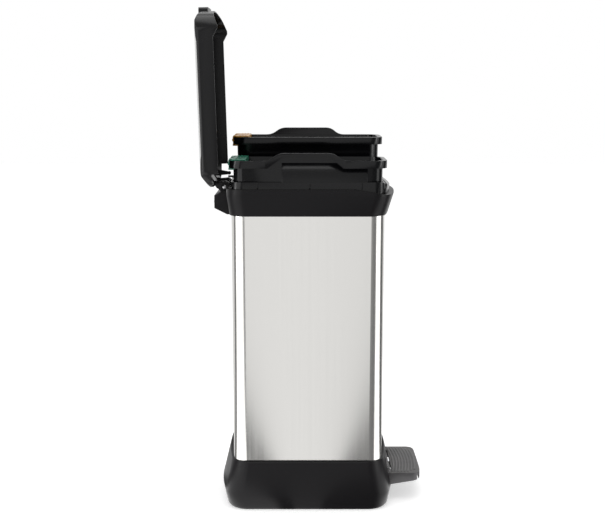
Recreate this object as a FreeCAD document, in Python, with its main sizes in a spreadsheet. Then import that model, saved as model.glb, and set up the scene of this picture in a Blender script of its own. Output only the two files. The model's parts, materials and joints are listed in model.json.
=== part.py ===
"""Pedal trash can with two inner buckets, modelled with the lid open and the pedal down.

Millimetres, +Z up. The origin is on the floor under the middle of the sleeve; the pedal points
to -Y and the hinge is at +Y. The lid's pieces are drawn closed, with the hinge axis as their
origin, and are then turned open about that axis.
"""
import FreeCAD, Part

import os
import re

import Sketcher

SIZES = {
    # sleeve and floor
    "sleeve_width": 270.0,
    "sleeve_depth": 308.0,
    "sleeve_corner": 28.0,
    "sleeve_gauge": 0.8,
    "sleeve_bottom": 87.0,
    "sleeve_top": 640.0,
    "fit_gap": 0.15,
    "plastic_wall": 2.5,
    # base
    "base_flare": 10.0,
    "base_swell": 29.5,
    "base_crease": 33.0,
    "base_top": 104.0,
    "base_top_flare": 6.0,
    "base_top_swell": 12.5,
    "base_foot_flare": 2.5,
    "base_foot_swell": 20.5,
    "base_foot_round": 6.0,
    "base_corner": 40.0,
    "base_bow": 510.0,
    "base_top_bow": 672.0,
    "ledge_drop": 8.0,
    "plate_thick": 3.0,
    "foot_radius": 11.0,
    "foot_depth": 1.5,
    "foot_inset": 38.0,
    # pedal
    "pedal_half_width": 82.0,
    "pedal_root": 171.0,
    "pedal_tip": 244.0,
    "pedal_surface": 57.5,
    "pedal_top_set": 4.5,
    "pedal_root_under": 31.5,
    "pedal_tip_under": 43.4,
    "pedal_lip": 46.0,
    "pedal_corner": 16.0,
    "pedal_nose": 420.0,
    "pedal_skin": 6.0,
    "tongue_half_width": 53.0,
    "tongue_front": 177.0,
    "tongue_rear": 140.0,
    "tongue_gap": 3.0,
    "window_half_width": 85.0,
    "window_bottom": 27.0,
    "window_top": 92.0,
    "pivot_place": 20.0,
    "pivot_height": 45.0,
    "pivot_radius": 3.0,
    "running_gap": 0.05,
    "hub_radius": 6.0,
    "hub_half_length": 25.0,
    "bush_wall": 1.2,
    "bush_length": 12.0,
    "ear_gap": 1.0,
    "ear_thick": 6.0,
    "ear_half_depth": 11.0,
    "ear_rise": 9.0,
    "bracket_foot": 16.0,
    "lever_half_width": 18.0,
    "lever_thick": 3.0,
    "lever_front": 228.0,
    "lever_overrun": 9.0,
    # push rod
    "rod_radius": 2.5,
    "rod_inset": 8.0,
    "rod_foot_gap": 1.0,
    "rod_cap_radius": 3.6,
    "rod_cap_height": 8.0,
    "rod_head_top": 683.0,
    "rod_head_thick": 4.0,
    "rod_head_half_width": 3.5,
    "rod_head_rear": 167.0,
    "guide_low": 240.0,
    "guide_high": 480.0,
    "guide_height": 12.0,
    "guide_half_width": 8.0,
    "guide_gap": 0.4,
    # collar and liner
    "collar_bottom": 613.0,
    "collar_widest": 652.0,
    "collar_top": 667.0,
    "collar_flare": 10.0,
    "collar_front_swell": 25.3,
    "collar_rear_swell": 12.0,
    "collar_edge_flare": 2.5,
    "collar_edge_front": 13.0,
    "collar_edge_rear": 6.0,
    "collar_corner": 36.0,
    "rear_bow": 2500.0,
    "collar_front_dip": 11.0,
    "liner_top": 680.5,
    "liner_inset": 4.0,
    "liner_front_swell": 16.0,
    "liner_rear_swell": 6.0,
    "liner_wall": 2.0,
    "liner_foot": 14.0,
    "liner_front_top": 669.0,
    "recess_half_width": 62.0,
    "recess_floor": 645.0,
    "recess_gap": 3.0,
    "crank_slot_half_width": 8.0,
    # hinge
    "hinge_overhang": 17.0,
    "hinge_height": 663.0,
    "hinge_pin_radius": 3.0,
    "knuckle_radius": 12.0,
    "arm_near": 34.0,
    "arm_far": 44.0,
    "cheek_gap": 0.6,
    "cheek_thick": 6.0,
    "cheek_radius": 9.0,
    "bracket_overhang": 21.0,
    "bracket_step_gap": 5.0,
    "bracket_low": 608.0,
    "bracket_bend": 621.0,
    "bracket_shoulder": 647.0,
    "bracket_deck": 655.0,
    "pocket_floor": 647.0,
    "buffer_height": 2.5,
    # lid, drawn closed from the hinge axis
    "open_angle": 91.5,
    "lid_flare": 5.0,
    "lid_overhang": 31.0,
    "lid_rear": 4.0,
    "lid_bow": 605.0,
    "lid_corner": 38.0,
    "lid_wall": 2.5,
    "skirt_bottom": 5.0,
    "skirt_front_bottom": 4.0,
    "skirt_rear_bottom": 19.0,
    "skirt_top": 25.0,
    "crown_top": 49.8,
    "crown_bow": 900.0,
    "crown_corner": 10.0,
    "nose_low": 9.0,
    "nose_drop": 20.0,
    "nose_reach": 56.0,
    "nose_turn": 130.0,
    "brow_drop": 3.6,
    "crest_place": 200.0,
    "crest_drop": 0.7,
    "crest_turn": 1500.0,
    "nape_place": 60.0,
    "nape_drop": 2.4,
    "nape_turn": 2700.0,
    "chamfer_place": 38.0,
    "chamfer_drop": 6.1,
    "chamfer_turn": 42.0,
    "lip_reach": 7.0,
    "lip_half_width": 42.0,
    "lip_low": 21.0,
    "lip_high": 40.0,
    "panel_rear": 47.0,
    "panel_front": 318.0,
    "panel_margin": 3.0,
    "panel_corner": 30.0,
    "panel_gauge": 0.8,
    "crank_half_width": 3.5,
    "crank_reach": 25.0,
    "crank_drop": 7.0,
    "crank_tip": 3.5,
    # buckets
    "bucket_gap": 10.0,
    "bucket_floor": 90.0,
    "bucket_rim": 683.0,
    "bucket_side_play": 0.0,
    "bucket_end_play": 0.5,
    "bucket_draft_side": 6.0,
    "bucket_draft_end": 11.0,
    "bucket_wall": 2.0,
    "bucket_corner": 26.0,
    "rim_overhang": 7.5,
    "rim_thick": 2.5,
    "rim_skirt": 15.0,
    "rim_skin": 2.0,
    "rim_play": 0.6,
    "handle_rise": 15.0,
    "handle_rear_foot": 90.0,
    "handle_rear_top": 47.0,
    "handle_front_top": 41.0,
    "handle_front_foot": 80.0,
    "handle_band": 6.0,
    "handle_inset": 0.6,
    "near_lift": 40.0,
    "far_lift": 79.0,
    "clip_depth": 29.0,
    "clip_end": 5.0,
    "clip_side": 9.0,
    "clip_thick": 2.5,
    "clip_drop": 22.0,
    # fasteners
    "screw_radius": 2.0,
    "screw_head_radius": 3.8,
    "screw_head_height": 2.0,
    "screw_length": 9.0,
}

# places that follow from those sizes
PLACES = {
    "rod_place": "sleeve_depth / 2 - rod_inset",
    "hinge_place": "sleeve_depth / 2 + hinge_overhang",
    "recess_front": "sleeve_depth / 2 + recess_gap",
    "bracket_rear": "hinge_place + bracket_overhang",
    "bracket_step": "hinge_place + bracket_step_gap",
    "lid_front": "hinge_place + sleeve_depth / 2 + lid_overhang",
}

doc = FreeCAD.newDocument("pedal_trash_can")
sheet = doc.addObject("Spreadsheet::Sheet", "Sizes")
cells = {**SIZES, **{alias: f"={formula}" for alias, formula in PLACES.items()}}
for row, (alias, content) in enumerate(cells.items(), start=1):
    sheet.set(f"A{row}", alias)
    sheet.set(f"B{row}", str(content))
    sheet.setAlias(f"B{row}", alias)
doc.recompute()

NODES = []


# ---- expressions -----------------------------------------------------------------------------

def bound(text):
    """An expression on the sheet's cells, from plain words such as sleeve_width / 2."""
    return re.sub(r"\b([a-z]+(?:_[a-z]+)+)\b", r"Sizes.\1", str(text))


def number(text):
    """The value of such an expression now."""
    return float(sheet.evalExpression(bound(text)))


def bind(item, path, text):
    """Ties one property of an object to an expression on the sheet."""
    item.setExpression(path, bound(text))


def place(item, x="0", y="0", z="0"):
    """Ties an object's position to the sheet."""
    for axis, text in zip("xyz", (x, y, z)):
        bind(item, f"Placement.Base.{axis}", text)
    return item


def node(item, name):
    """Names a finished sub-part and lists it for export."""
    item.Label = name
    NODES.append(item)
    return item


# ---- outlines: lists of (x, y, radius of the arc that arrives there, or None for a line) -----

def polygon(*points):
    return [(x, y, None) for x, y in points]


def rounded(half_x, half_y, corner, x="0", y="0"):
    """A rectangle with round corners, about the point x, y."""
    flat_x = f"({half_x} - {corner})"
    flat_y = f"({half_y} - {corner})"
    return [
        (f"{x} + {half_x}", f"{y} - {flat_y}", corner),
        (f"{x} + {half_x}", f"{y} + {flat_y}", None),
        (f"{x} + {flat_x}", f"{y} + {half_y}", corner),
        (f"{x} - {flat_x}", f"{y} + {half_y}", None),
        (f"{x} - {half_x}", f"{y} + {flat_y}", corner),
        (f"{x} - {half_x}", f"{y} - {flat_y}", None),
        (f"{x} - {flat_x}", f"{y} - {half_y}", corner),
        (f"{x} + {flat_x}", f"{y} - {half_y}", None),
    ]


def bow_end(half_x, reach, corner, bow):
    """Where a side line, a corner arc and a bowed end meet, as side y, arc x and arc y."""
    flat = f"({half_x} - {corner})"
    leg = f"sqrt(({bow} - {corner}) ^ 2 - {flat} ^ 2)"
    ratio = f"({bow} / ({bow} - {corner}))"
    side_y = f"({reach} - {bow} + {leg})"
    arc_x = f"({flat} * {ratio})"
    arc_y = f"({reach} - {bow} + {leg} * {ratio})"
    return side_y, arc_x, arc_y


def barrel(half_x, front, rear, corner, bow, rear_bow=None):
    """Straight sides, round corners and ends that bow out to front (-Y) and rear (+Y)."""
    rear_bow = rear_bow or bow
    front_side, front_x, front_y = bow_end(half_x, front, corner, bow)
    rear_side, rear_x, rear_y = bow_end(half_x, rear, corner, rear_bow)
    return [
        (half_x, f"-{front_side}", corner),
        (half_x, rear_side, None),
        (rear_x, rear_y, corner),
        (f"-{rear_x}", rear_y, rear_bow),
        (f"-{half_x}", rear_side, corner),
        (f"-{half_x}", f"-{front_side}", None),
        (f"-{front_x}", f"-{front_y}", corner),
        (front_x, f"-{front_y}", bow),
    ]


# ---- sketches and solids ---------------------------------------------------------------------

def new_body(name):
    return doc.addObject("PartDesign::Body", name)


def arc_between(start, end, radius):
    """The short arc from start to end: anticlockwise for a positive radius."""
    chord = end - start
    middle = (start + end) * 0.5
    left = FreeCAD.Vector(-chord.y, chord.x, 0).normalize()
    rise = max(radius ** 2 - (chord.Length / 2) ** 2, 0.0) ** 0.5
    centre = middle + left * (rise if radius > 0 else -rise)
    first, last = (start, end) if radius > 0 else (end, start)
    axis_x = FreeCAD.Vector(1, 0, 0)
    angles = []
    for point in (first, last):
        ray = point - centre
        angle = axis_x.getAngle(ray)
        angles.append(angle if ray.y >= 0 else -angle)
    circle = Part.Circle(centre, FreeCAD.Vector(0, 0, 1), abs(radius))
    return Part.ArcOfCircle(circle, angles[0], angles[1])


def sketch_on(body, name, plane, outline, height="0"):
    """A closed sketch on one of the body's origin planes, every corner tied to the sheet."""
    sketch = body.newObject("Sketcher::SketchObject", name)
    support = [item for item in body.Origin.OriginFeatures if item.Role == plane][0]
    sketch.AttachmentSupport = [(support, "")]
    sketch.MapMode = "FlatFace"
    bind(sketch, "AttachmentOffset.Base.z", height)
    corners = [FreeCAD.Vector(number(x), number(y), 0) for x, y, _ in outline]
    ends = []
    for index, (_, _, radius) in enumerate(outline):
        start, end = corners[index - 1], corners[index]
        if radius is None:
            edge = sketch.addGeometry(Part.LineSegment(start, end), False)
            ends.append((edge, 1, 2))
            continue
        size = number(radius)
        edge = sketch.addGeometry(arc_between(start, end, size), False)
        ends.append((edge, 1, 2) if size > 0 else (edge, 2, 1))
        rule = sketch.addConstraint(Sketcher.Constraint("Radius", edge, abs(size)))
        sketch.renameConstraint(rule, f"radius{index}")
        bind(sketch, f"Constraints.radius{index}", f"abs({radius})")
    for index, (x, y, _) in enumerate(outline):
        edge, _, tail = ends[index]
        following, head, _ = ends[(index + 1) % len(ends)]
        sketch.addConstraint(Sketcher.Constraint("Coincident", edge, tail, following, head))
        for kind, text in (("DistanceX", x), ("DistanceY", y)):
            rule = sketch.addConstraint(
                Sketcher.Constraint(kind, -1, 1, edge, tail, number(text))
            )
            label = f"{kind[-1].lower()}{index}"
            sketch.renameConstraint(rule, label)
            bind(sketch, f"Constraints.{label}", text)
    return sketch


def prism(name, plane, outline, length, height="0", symmetric=False):
    """A body with one pad of an outline."""
    body = new_body(name)
    sketch = sketch_on(body, f"{name}_outline", plane, outline, height)
    pad = body.newObject("PartDesign::Pad", f"{name}_pad")
    pad.Profile = sketch
    pad.SideType = "Symmetric" if symmetric else "One side"
    bind(pad, "Length", length)
    sketch.Visibility = False
    return body


def tapered(name, sections):
    """A body lofted in flat steps through (height, outline) sections."""
    body = new_body(name)
    sketches = [
        sketch_on(body, f"{name}_section{index}", "XY_Plane", outline, height)
        for index, (height, outline) in enumerate(sections)
    ]
    loft = body.newObject("PartDesign::AdditiveLoft", f"{name}_loft")
    loft.Profile = sketches[0]
    loft.Sections = sketches[1:]
    loft.Ruled = True
    return body


def box(name, low, high):
    """A box between two corners given as expressions."""
    item = doc.addObject("Part::Box", name)
    for side, start, end in zip(("Length", "Width", "Height"), low, high):
        bind(item, side, f"({end}) - ({start})")
    return place(item, *low)


def cylinder(name, radius, length, start, direction="z"):
    """A cylinder from a start point along x, y or z."""
    item = doc.addObject("Part::Cylinder", name)
    bind(item, "Radius", radius)
    bind(item, "Height", length)
    turn = {
        "x": FreeCAD.Rotation(FreeCAD.Vector(0, 1, 0), 90),
        "y": FreeCAD.Rotation(FreeCAD.Vector(1, 0, 0), -90),
        "z": FreeCAD.Rotation(),
    }[direction]
    item.Placement = FreeCAD.Placement(FreeCAD.Vector(), turn)
    return place(item, *start)


def fuse(name, *parts):
    item = doc.addObject("Part::MultiFuse", name)
    item.Shapes = list(parts)
    return item


def group(name, *parts):
    """Several separate solids kept together in one node."""
    item = doc.addObject("Part::Compound", name)
    item.Links = list(parts)
    return item


def cut(name, base, *tools):
    item = doc.addObject("Part::Cut", name)
    item.Base = base
    item.Tool = tools[0] if len(tools) == 1 else fuse(f"{name}_tools", *tools)
    return item


def common(name, first, second):
    item = doc.addObject("Part::Common", name)
    item.Base = first
    item.Tool = second
    return item


HALF_X = "(sleeve_width / 2)"
HALF_Y = "(sleeve_depth / 2)"
SIDES = ((-1, "left"), (1, "right"))
PIVOT_Y = "(0 - pivot_place)"


# ---- base ------------------------------------------------------------------------------------

def base_sections(wall):
    """The base's outline at its foot, foot round, crease and top, drawn in by a wall."""
    def ring(side, end, bow):
        half_x = f"({HALF_X} + {side} - {wall})"
        half_y = f"({HALF_Y} + {end} - {wall})"
        return barrel(half_x, half_y, half_y, f"(base_corner - {wall})", f"({bow} - {wall})")
    return [
        ("0", ring("base_foot_flare", "base_foot_swell", "base_bow")),
        ("base_foot_round", ring("base_top_flare", "base_foot_swell + 4", "base_bow")),
        ("base_crease", ring("base_flare", "base_swell", "base_bow")),
        ("base_top", ring("base_top_flare", "base_top_swell", "base_top_bow")),
    ]


def make_base():
    outer = tapered("base_outer", base_sections("0"))
    inner = tapered("base_inner", base_sections("plastic_wall"))
    sleeve_hole = prism(
        "base_sleeve_hole", "XY_Plane",
        rounded(f"({HALF_X} + fit_gap)", f"({HALF_Y} + fit_gap)", "(sleeve_corner + fit_gap)"),
        "base_top - sleeve_bottom + 2", "sleeve_bottom - 1",
    )
    ledge_blank = box(
        "ledge_blank",
        ("0 - sleeve_width", "0 - sleeve_depth", "base_top - ledge_drop - plastic_wall"),
        ("sleeve_width", "sleeve_depth", "base_top - ledge_drop"),
    )
    ledge = cut("base_ledge", common("ledge_plate", ledge_blank, inner), sleeve_hole)
    window = box(
        "pedal_window",
        ("0 - window_half_width", "0 - sleeve_depth", "window_bottom"),
        ("window_half_width", "0 - pedal_root + 30", "window_top"),
    )
    walls = cut("base_walls", outer, inner, window, sleeve_hole)
    node(fuse("base_with_ledge", walls, ledge), "base_shell")

    plate_blank = box(
        "plate_blank", ("0 - sleeve_width", "0 - sleeve_depth", "0"),
        ("sleeve_width", "sleeve_depth", "plate_thick"),
    )
    feet = []
    for side_x, word_x in SIDES:
        for side_y, word_y in ((-1, "front"), (1, "rear")):
            spot = (f"{side_x} * ({HALF_X} - foot_inset)", f"{side_y} * ({HALF_Y} - foot_inset)")
            feet.append(
                cylinder(f"foot_{word_x}_{word_y}", "foot_radius", "foot_depth", (*spot, "0"))
            )
    pads = node(group("feet", *feet), "anti_slip_pads")
    screws = []
    for side_x, word_x in SIDES:
        for side_y, word_y in ((-1, "front"), (1, "rear")):
            x = f"{side_x} * (hub_half_length + ear_gap + bracket_foot - 6)"
            y = f"{PIVOT_Y} + {side_y} * (ear_half_depth - 4)"
            name = f"bracket_screw_{word_x}_{word_y}"
            head = cylinder(f"{name}_head", "screw_head_radius", "screw_head_height", (x, y, "0"))
            shank = cylinder(
                f"{name}_shank", "screw_radius", "plate_thick + 4 - screw_head_height",
                (x, y, "screw_head_height"),
            )
            screws.append(fuse(name, head, shank))
    screw_group = node(group("bracket_screw_set", *screws), "bracket_screws")
    plate = common("plate_in_base", plate_blank, inner)
    node(cut("plate_drilled", plate, pads, screw_group), "base_plate")
    return screw_group


def make_pivot(screw_group):
    """Two upright ears on the plate, the pin through them and a clip on each of its ends."""
    ears = []
    for side, word in SIDES:
        near = "hub_half_length + ear_gap"
        spans = (
            ("foot", "bracket_foot", "plate_thick", "plate_thick + 6"),
            ("ear", "ear_thick", "plate_thick", "pivot_height + ear_rise"),
        )
        for part, width, low, high in spans:
            start = near if side > 0 else f"0 - ({near}) - {width}"
            ears.append(box(
                f"pivot_{part}_{word}",
                (start, f"{PIVOT_Y} - ear_half_depth", low),
                (f"{start} + {width}", f"{PIVOT_Y} + ear_half_depth", high),
            ))
    half_pin = "(hub_half_length + ear_gap + ear_thick + 4)"
    centre = (f"0 - {half_pin}", PIVOT_Y, "pivot_height")
    pin = node(
        cylinder("pivot_rod", "pivot_radius", f"2 * {half_pin}", centre, "x"), "pedal_pivot_pin"
    )
    left = fuse("pivot_left", *ears[:2])
    right = fuse("pivot_right", *ears[2:])
    node(
        cut("ears_drilled", group("ears", left, right), pin, screw_group), "pivot_brackets"
    )
    clips = []
    for side, word in SIDES:
        start = "hub_half_length + ear_gap + ear_thick"
        x = start if side > 0 else f"0 - ({start}) - 1.2"
        ring = cylinder(f"clip_disc_{word}", "pivot_radius + 2.5", "1.2",
                        (x, PIVOT_Y, "pivot_height"), "x")
        clips.append(cut(f"clip_ring_{word}", ring, pin))
    node(group("clip_rings", *clips), "pivot_clips")


def make_floor():
    """Inner floor inside the base, with a lip that centres the sleeve."""
    plate = prism(
        "floor_plate", "XY_Plane",
        rounded(f"({HALF_X} + 1)", f"({HALF_Y} + 1)", "(sleeve_corner + 1)"),
        "plate_thick", "sleeve_bottom - plate_thick",
    )
    inset = "(sleeve_gauge + fit_gap)"
    lip = prism(
        "floor_lip", "XY_Plane",
        rounded(f"({HALF_X} - {inset})", f"({HALF_Y} - {inset})", f"(sleeve_corner - {inset})"),
        "2", "sleeve_bottom",
    )
    lip_hole = prism(
        "floor_lip_hole", "XY_Plane",
        rounded(f"({HALF_X} - {inset} - 1.5)", f"({HALF_Y} - {inset} - 1.5)",
                f"(sleeve_corner - {inset} - 1.5)"),
        "4", "sleeve_bottom",
    )
    hole = cylinder("floor_rod_hole", "rod_radius + 1.5", "20",
                    ("0", "rod_place", "sleeve_bottom - 10"))
    node(cut("floor_drilled", fuse("floor_blank", plate, cut("lip", lip, lip_hole)), hole),
         "floor_pan")


def make_sleeve():
    outer = prism(
        "sleeve_outer", "XY_Plane", rounded(HALF_X, HALF_Y, "sleeve_corner"),
        "sleeve_top - sleeve_bottom", "sleeve_bottom",
    )
    inner = prism(
        "sleeve_inner", "XY_Plane",
        rounded(f"({HALF_X} - sleeve_gauge)", f"({HALF_Y} - sleeve_gauge)",
                "(sleeve_corner - sleeve_gauge)"),
        "sleeve_top - sleeve_bottom + 2", "sleeve_bottom - 1",
    )
    node(cut("sleeve_wall", outer, inner), "body_sleeve")


# ---- collar, liner and hinge bracket ---------------------------------------------------------

def collar_sections():
    def ring(side, front, rear):
        return barrel(
            f"({HALF_X} + {side})", f"({HALF_Y} + {front})", f"({HALF_Y} + {rear})",
            "collar_corner", "base_bow", "rear_bow",
        )
    return [
        ("collar_bottom", ring("collar_edge_flare", "collar_edge_front", "collar_edge_rear")),
        ("collar_widest", ring("collar_flare", "collar_front_swell", "collar_rear_swell")),
        ("collar_top", ring("collar_flare", "collar_front_swell", "collar_rear_swell")),
    ]


def rim_grooves():
    """Rings in the liner that the skirts of the seated bucket rims drop into."""
    rings = []
    for side, word in SIDES:
        centre_x = f"({side} * (sleeve_width / 2 + bucket_gap / 2) / 2)"
        outlines = (("outer", "+ rim_play"), ("inner", "- rim_skin - rim_play"))
        outer, inner = (prism(
            f"groove_{part}_{word}", "XY_Plane",
            rounded(f"((sleeve_width - bucket_gap) / 4 {grow})", f"({HALF_Y} + 3.5 {grow})",
                    f"(bucket_corner {grow})", centre_x),
            "rim_skirt + 20", "bucket_rim - rim_skirt - rim_play",
        ) for part, grow in outlines)
        rings.append(cut(f"rim_groove_{word}", outer, inner))
    return group("rim_groove_set", *rings)


def make_collar(hinge_screws):
    outer = tapered("collar_outer", collar_sections())
    bore = prism(
        "collar_bore", "XY_Plane",
        rounded(f"({HALF_X} + fit_gap)", f"({HALF_Y} + fit_gap)", "(sleeve_corner + fit_gap)"),
        "collar_top - collar_bottom + 40", "collar_bottom - 20",
    )
    front = f"(0 - {HALF_Y} - 60)"
    low = "(collar_top - collar_front_dip)"
    dip = prism("collar_dip", "YZ_Plane", polygon(
        (front, low), (f"0 - {HALF_Y} - 4", low), (f"0 - {HALF_Y} + 60", "collar_top"),
        (f"0 - {HALF_Y} + 60", "collar_top + 10"), (front, "collar_top + 10"),
    ), "2 * sleeve_width", symmetric=True)
    recess = box(
        "hinge_recess", ("0 - recess_half_width", "recess_front", "recess_floor"),
        ("recess_half_width", "recess_front + 80", "recess_floor + 80"),
    )
    slot = box(
        "crank_slot", ("0 - crank_slot_half_width", "rod_place - 7", "recess_floor - 4"),
        ("crank_slot_half_width", "bracket_rear - 6", "recess_floor + 80"),
    )
    form = cut("collar_form", outer, bore, dip)
    collar = node(cut("collar_ring", form, recess, slot, hinge_screws), "collar")

    band = prism(
        "liner_band", "XY_Plane",
        barrel(f"({HALF_X} - liner_inset)", f"({HALF_Y} + liner_front_swell)",
               f"({HALF_Y} + liner_rear_swell)", "sleeve_corner", "base_bow", "rear_bow"),
        "liner_top - sleeve_top - 2", "sleeve_top + 2",
    )
    foot = prism(
        "liner_foot_ring", "XY_Plane",
        rounded(f"({HALF_X} - fit_gap)", f"({HALF_Y} - fit_gap)", "(sleeve_corner - fit_gap)"),
        "liner_foot", "sleeve_top + 0.5",
    )
    opening = prism(
        "liner_opening", "XY_Plane",
        rounded(f"({HALF_X} - liner_inset - liner_wall)", f"({HALF_Y} - liner_wall - fit_gap)",
                "(sleeve_corner - liner_wall)"),
        "200", "sleeve_top - 20",
    )
    slope = prism("liner_slope", "YZ_Plane", polygon(
        (f"0 - {HALF_Y} - liner_front_swell", "liner_front_top"),
        (f"0 - {HALF_Y} + 6", "liner_top"), (f"0 - {HALF_Y} + 6", "liner_top + 9"),
        (f"0 - {HALF_Y} - liner_front_swell - 9", "liner_top + 9"),
        (f"0 - {HALF_Y} - liner_front_swell - 9", "liner_front_top"),
    ), "2 * sleeve_width", symmetric=True)
    blank = cut("liner_trimmed", fuse("liner_blank", band, foot), opening, slope)
    node(cut("liner_fitted", blank, form, recess, slot, rim_grooves()), "rim_liner")
    return collar, slot


def make_hinge_screws():
    """Two screws that hold the bracket to the collar, their heads sunk in its rear face."""
    screws = []
    for side, word in SIDES:
        x = f"{side} * (recess_half_width - 8)"
        head_y = "bracket_rear - screw_head_height"
        z = "(bracket_bend + bracket_shoulder) / 2"
        head = cylinder(f"hinge_screw_head_{word}", "screw_head_radius", "screw_head_height",
                        (x, head_y, z), "y")
        shank = cylinder(
            f"hinge_screw_shank_{word}", "screw_radius", f"bracket_rear - {HALF_Y} - 4",
            (x, f"{HALF_Y} + 4 - screw_head_height", z), "y",
        )
        screws.append(fuse(f"hinge_screw_{word}", head, shank))
    return node(group("hinge_screw_set", *screws), "hinge_screws")


def make_bracket(collar, slot, hinge_screws):
    """Rear block with two cheeks on each side of each hinge arm."""
    block = prism("bracket_block", "YZ_Plane", polygon(
        ("recess_front + 0.3", "bracket_low"), ("bracket_rear - 26", "bracket_low"),
        ("bracket_rear", "bracket_bend"), ("bracket_rear", "bracket_shoulder"),
        ("bracket_step", "bracket_deck"), ("recess_front + 0.3", "bracket_deck"),
    ), "2 * recess_half_width - 1", symmetric=True)
    cheeks = []
    pockets = []
    pins = []
    for side, word in SIDES:
        near = "(arm_near - cheek_gap)"
        far = "(arm_far + cheek_gap)"
        spans = (("inner", f"{near} - cheek_thick", near), ("outer", far, f"{far} + cheek_thick"))
        for part, low, high in spans:
            start = low if side > 0 else f"0 - ({high})"
            eye = cylinder(f"cheek_eye_{part}_{word}", "cheek_radius", f"({high}) - ({low})",
                           (start, "hinge_place", "hinge_height"), "x")
            web = box(
                f"cheek_web_{part}_{word}",
                (start, "hinge_place - cheek_radius", "bracket_shoulder"),
                (f"{start} + ({high}) - ({low})", "hinge_place + cheek_radius", "hinge_height"),
            )
            cheeks.extend((eye, web))
        start = near if side > 0 else f"0 - {far}"
        pockets.append(box(
            f"arm_pocket_{word}", (start, "recess_front - 5", "pocket_floor"),
            (f"{start} + {far} - {near}", "bracket_rear + 5", "hinge_height + 30"),
        ))
        first = f"{near} - cheek_thick"
        last = f"({far} + cheek_thick)"
        start = first if side > 0 else f"0 - {last}"
        pins.append(cylinder(
            f"hinge_pin_{word}", "hinge_pin_radius", f"{last} - ({first})",
            (start, "hinge_place", "hinge_height"), "x",
        ))
    pin_set = node(group("hinge_pin_set", *pins), "hinge_pins")
    blank = fuse("bracket_blank", block, *cheeks)
    node(cut("bracket_cut", blank, *pockets, slot, pin_set, hinge_screws, collar),
         "hinge_bracket")
    buffers = []
    for side, word in SIDES:
        start = "arm_near + 1" if side > 0 else "0 - arm_far + 1"
        buffers.append(box(
            f"buffer_{word}", (start, "bracket_step", "pocket_floor"),
            (f"{start} + arm_far - arm_near - 2", "bracket_rear - 6",
             "pocket_floor + buffer_height"),
        ))
    node(group("buffer_set", *buffers), "stop_buffers")


# ---- lid, drawn closed with the hinge axis as origin -----------------------------------------

def open_lid(item):
    """Turns a piece drawn closed to the open lid."""
    item.Placement = FreeCAD.Placement(
        FreeCAD.Vector(), FreeCAD.Rotation(FreeCAD.Vector(-1, 0, 0), number("open_angle"))
    )
    bind(item, "Placement.Rotation.Angle", "open_angle")
    return place(item, "0", "hinge_place", "hinge_height")


def lid_dome(name, inset):
    """The lid's outer form, or its hollow when drawn in by an inset: plan, crown and profile."""
    half_x = f"({HALF_X} + lid_flare - {inset})"
    front = f"(lid_front - {inset})"
    rear = f"(0 - lid_rear - {inset})"
    plan = prism(f"{name}_plan", "XY_Plane",
                 barrel(half_x, front, rear, f"(lid_corner - {inset})", f"(lid_bow - {inset})",
                        f"(rear_bow - {inset})"),
                 "200", "-60")
    top = f"(crown_top - {inset})"
    corner = f"(crown_corner - {inset})"
    bow = f"(crown_bow - {inset})"
    side_z, arc_x, arc_z = bow_end(half_x, top, corner, bow)
    arch = prism(f"{name}_arch", "XZ_Plane", [
        (half_x, "-60", None), (half_x, side_z, None), (arc_x, arc_z, corner),
        (f"-{arc_x}", arc_z, bow), (f"-{half_x}", side_z, corner), (f"-{half_x}", "-60", None),
    ], "3 * lid_front", symmetric=True)
    under = "0" if inset == "0" else "30"
    profile = prism(f"{name}_profile", "YZ_Plane", [
        (rear, f"skirt_rear_bottom - {under}", None),
        ("0 - lid_rear - 30", f"skirt_rear_bottom - {under}", None),
        ("0 - lid_rear - 30", f"skirt_bottom - {under}", None),
        ("0 - lid_front + 56", f"skirt_bottom - {under}", None),
        ("0 - lid_front + 40", f"0 - skirt_front_bottom - {under}", None),
        ("0 - lid_front + 34", f"0 - skirt_front_bottom - {under}", None),
        (f"0 - {front}", f"nose_low - {under}", None),
        (f"0 - {front}", f"crown_top - nose_drop - {inset}", None),
        ("0 - lid_front + nose_reach", f"crown_top - brow_drop - {inset}", "0 - nose_turn"),
        ("0 - crest_place", f"crown_top - crest_drop - {inset}", "0 - crest_turn"),
        ("0 - nape_place", f"crown_top - nape_drop - {inset}", "0 - nape_turn"),
        ("0 - chamfer_place", f"crown_top - chamfer_drop - {inset}", "0 - chamfer_turn"),
        (rear, f"skirt_rear_bottom + 3 - {inset}", None),
    ], "2 * sleeve_width", symmetric=True)
    return common(f"{name}_pillow", common(f"{name}_arched", plan, arch), profile)


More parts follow.
